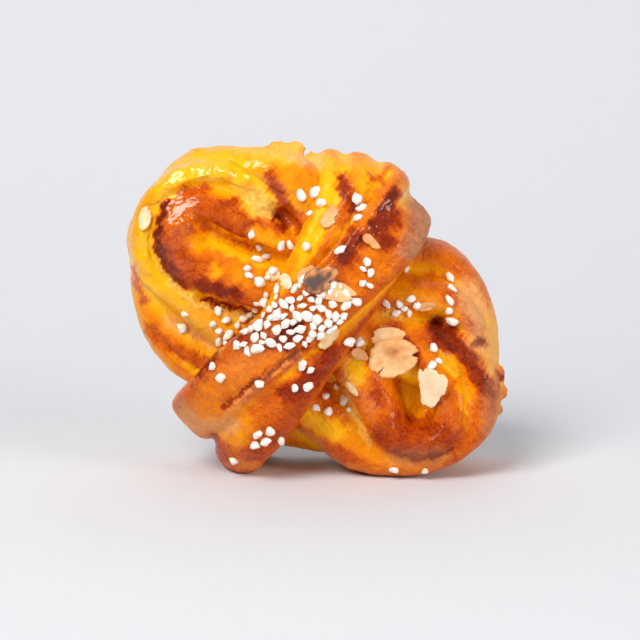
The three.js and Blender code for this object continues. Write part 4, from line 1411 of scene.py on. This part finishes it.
def crumbTree():
    # loose crumbs of dough on the torn edges
    bench, given = newTree("tornCrumbs", Object="Crumb", Float="Density Least Most", Int="Seed",
                           Material="Finish")
    density = given.of("Density") * bench.ramp(bench.carried("torn"), 0.3, 0.8)
    spots = bench.node("GeometryNodeDistributePointsOnFaces", None, Mesh=given.of("Geometry"),
                       Density=density, Seed=given.of("Seed"))
    shape = bench.node("GeometryNodeObjectInfo", None, given.of("Crumb")).of("Geometry")
    turn = bench.node("FunctionNodeRandomValue", {"data_type": "FLOAT_VECTOR"}, (0, 0, 0), (6.3, 6.3, 6.3),
                      Seed=given.of("Seed"))
    size = bench.node("FunctionNodeRandomValue", {"data_type": "FLOAT"}, given.of("Least"),
                      given.of("Most"), Seed=given.of("Seed") + 1)
    laid = bench.node("GeometryNodeInstanceOnPoints", None, Points=spots, Instance=shape, Rotation=turn,
                      Scale=size)
    return closeTree(bench, laid, given.of("Finish"))


def makeCrumbs():
    form = bmesh.new()
    bmesh.ops.create_icosphere(form, subdivisions=2, radius=0.5)
    for vertex in form.verts:
        vertex.co *= crumbPlan["even"] + crumbPlan["rough"] * noise.noise(vertex.co * crumbPlan["waves"])
    grain = ballThing("crumb", form, 0, 0)
    tree = crumbTree()
    least, most = crumbPlan["size"]
    copies = [added("crumbs", thing.data.copy()) for thing in doughs]
    for copy in copies:
        runTree(copy, tree, Crumb=grain, Density=float(crumbPlan["density"]), Least=least * mm,
                Most=most * mm, Seed=crumbPlan["seed"], Finish=crumbs)
    drop(grain)
    whole = joined("tornCrumbs", copies)
    shadeSmooth(whole.data)
    return whole


tornCrumbs = makeCrumbs()
print("crumbs laid", len(tornCrumbs.data.polygons), "faces")


# the bun is put together

for thing, slotName in [(dough, "crust") for dough in doughs] + [
        (tornCrumbs, "crust"), (pearlSugar, "pearl_sugar"), (almondFlakes, "almond")]:
    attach(thing, "root")
    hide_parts("bun")


# floor, light and camera

studio = {
    "floor": (0.745, 0.755, 0.79),
    "turnBack": 0.16,  # where the floor starts to sweep up, behind the bun
    "sweep": 0.5,  # radius of the sweep
    "wide": 2.4,
    "front": -1.2,
    "top": 1.6,
    "steps": 24,  # facets of the sweep
    "air": (0.93, 0.95, 1.0),
    "airStrength": 0.1,
}


def makeBackdrop():
    rows = [(studio["front"], 0.0), (studio["turnBack"], 0.0)]
    for step in range(1, studio["steps"] + 1):
        angle = math.pi / 2 * step / studio["steps"]
        rows.append((studio["turnBack"] + studio["sweep"] * math.sin(angle),
                     studio["sweep"] * (1 - math.cos(angle))))
    rows.append((studio["turnBack"] + studio["sweep"], studio["top"]))
    points = [(side * studio["wide"] / 2, y, z) for y, z in rows for side in (-1, 1)]
    faces = [(2 * k, 2 * k + 1, 2 * k + 3, 2 * k + 2) for k in range(len(rows) - 1)]
    backdrop = newThing("backdrop", points, (), faces)
    shadeSmooth(backdrop.data)
    material, bench = newFinish("backdropPaper")
    closeFinish(bench, Base_Color=(*studio["floor"], 1), Roughness=0.9)
    backdrop.data.materials.append(material)


makeBackdrop()

lights = {
    # place, size, power, colour
    "key": ((-0.56, -0.88, 1.0), 0.7, 18.6, (1.0, 0.985, 0.96)),
    "above": ((0.0, 0.2, 1.1), 1.2, 2.6, (1.0, 1.0, 1.0)),
    "right": ((1.1, -0.75, 0.4), 0.5, 8.6, (0.97, 0.985, 1.0)),
}
aim = Vector((0, 0, 0.05))


def pointed(name, content, spot, at):
    # a lamp or camera at the spot that looks at a point
    thing = added(name, content)
    thing.location = spot
    thing.rotation_euler = (at - spot).to_track_quat("-Z", "Y").to_euler()
    return thing


for name, (spot, size, power, colour) in lights.items():
    lamp = bpy.data.lights.new(name, "AREA")
    lamp.size = size
    lamp.energy = power
    lamp.color = colour
    pointed(name, lamp, Vector(spot), aim)

world = bpy.data.worlds.new("studioAir")
world.use_nodes = True
air = world.node_tree.nodes["Background"].inputs
air["Color"].default_value = (*studio["air"], 1)
air["Strength"].default_value = studio["airStrength"]
bpy.context.scene.world = world
bpy.context.scene.view_settings.view_transform = "Standard"

cameraPlan = {
    "at": (1.45, -464.27, 113.97),  # millimetres
    "looksAt": (1.45, 2.61, 48.35),
    "lens": 85,
    "sensor": 36,
}
lens = bpy.data.cameras.new("photoCamera")
lens.lens = cameraPlan["lens"]
lens.sensor_width = cameraPlan["sensor"]
bpy.context.scene.camera = pointed("photoCamera", lens, Vector(cameraPlan["at"]) * mm,
                                   Vector(cameraPlan["looksAt"]) * mm)
print("studio set")
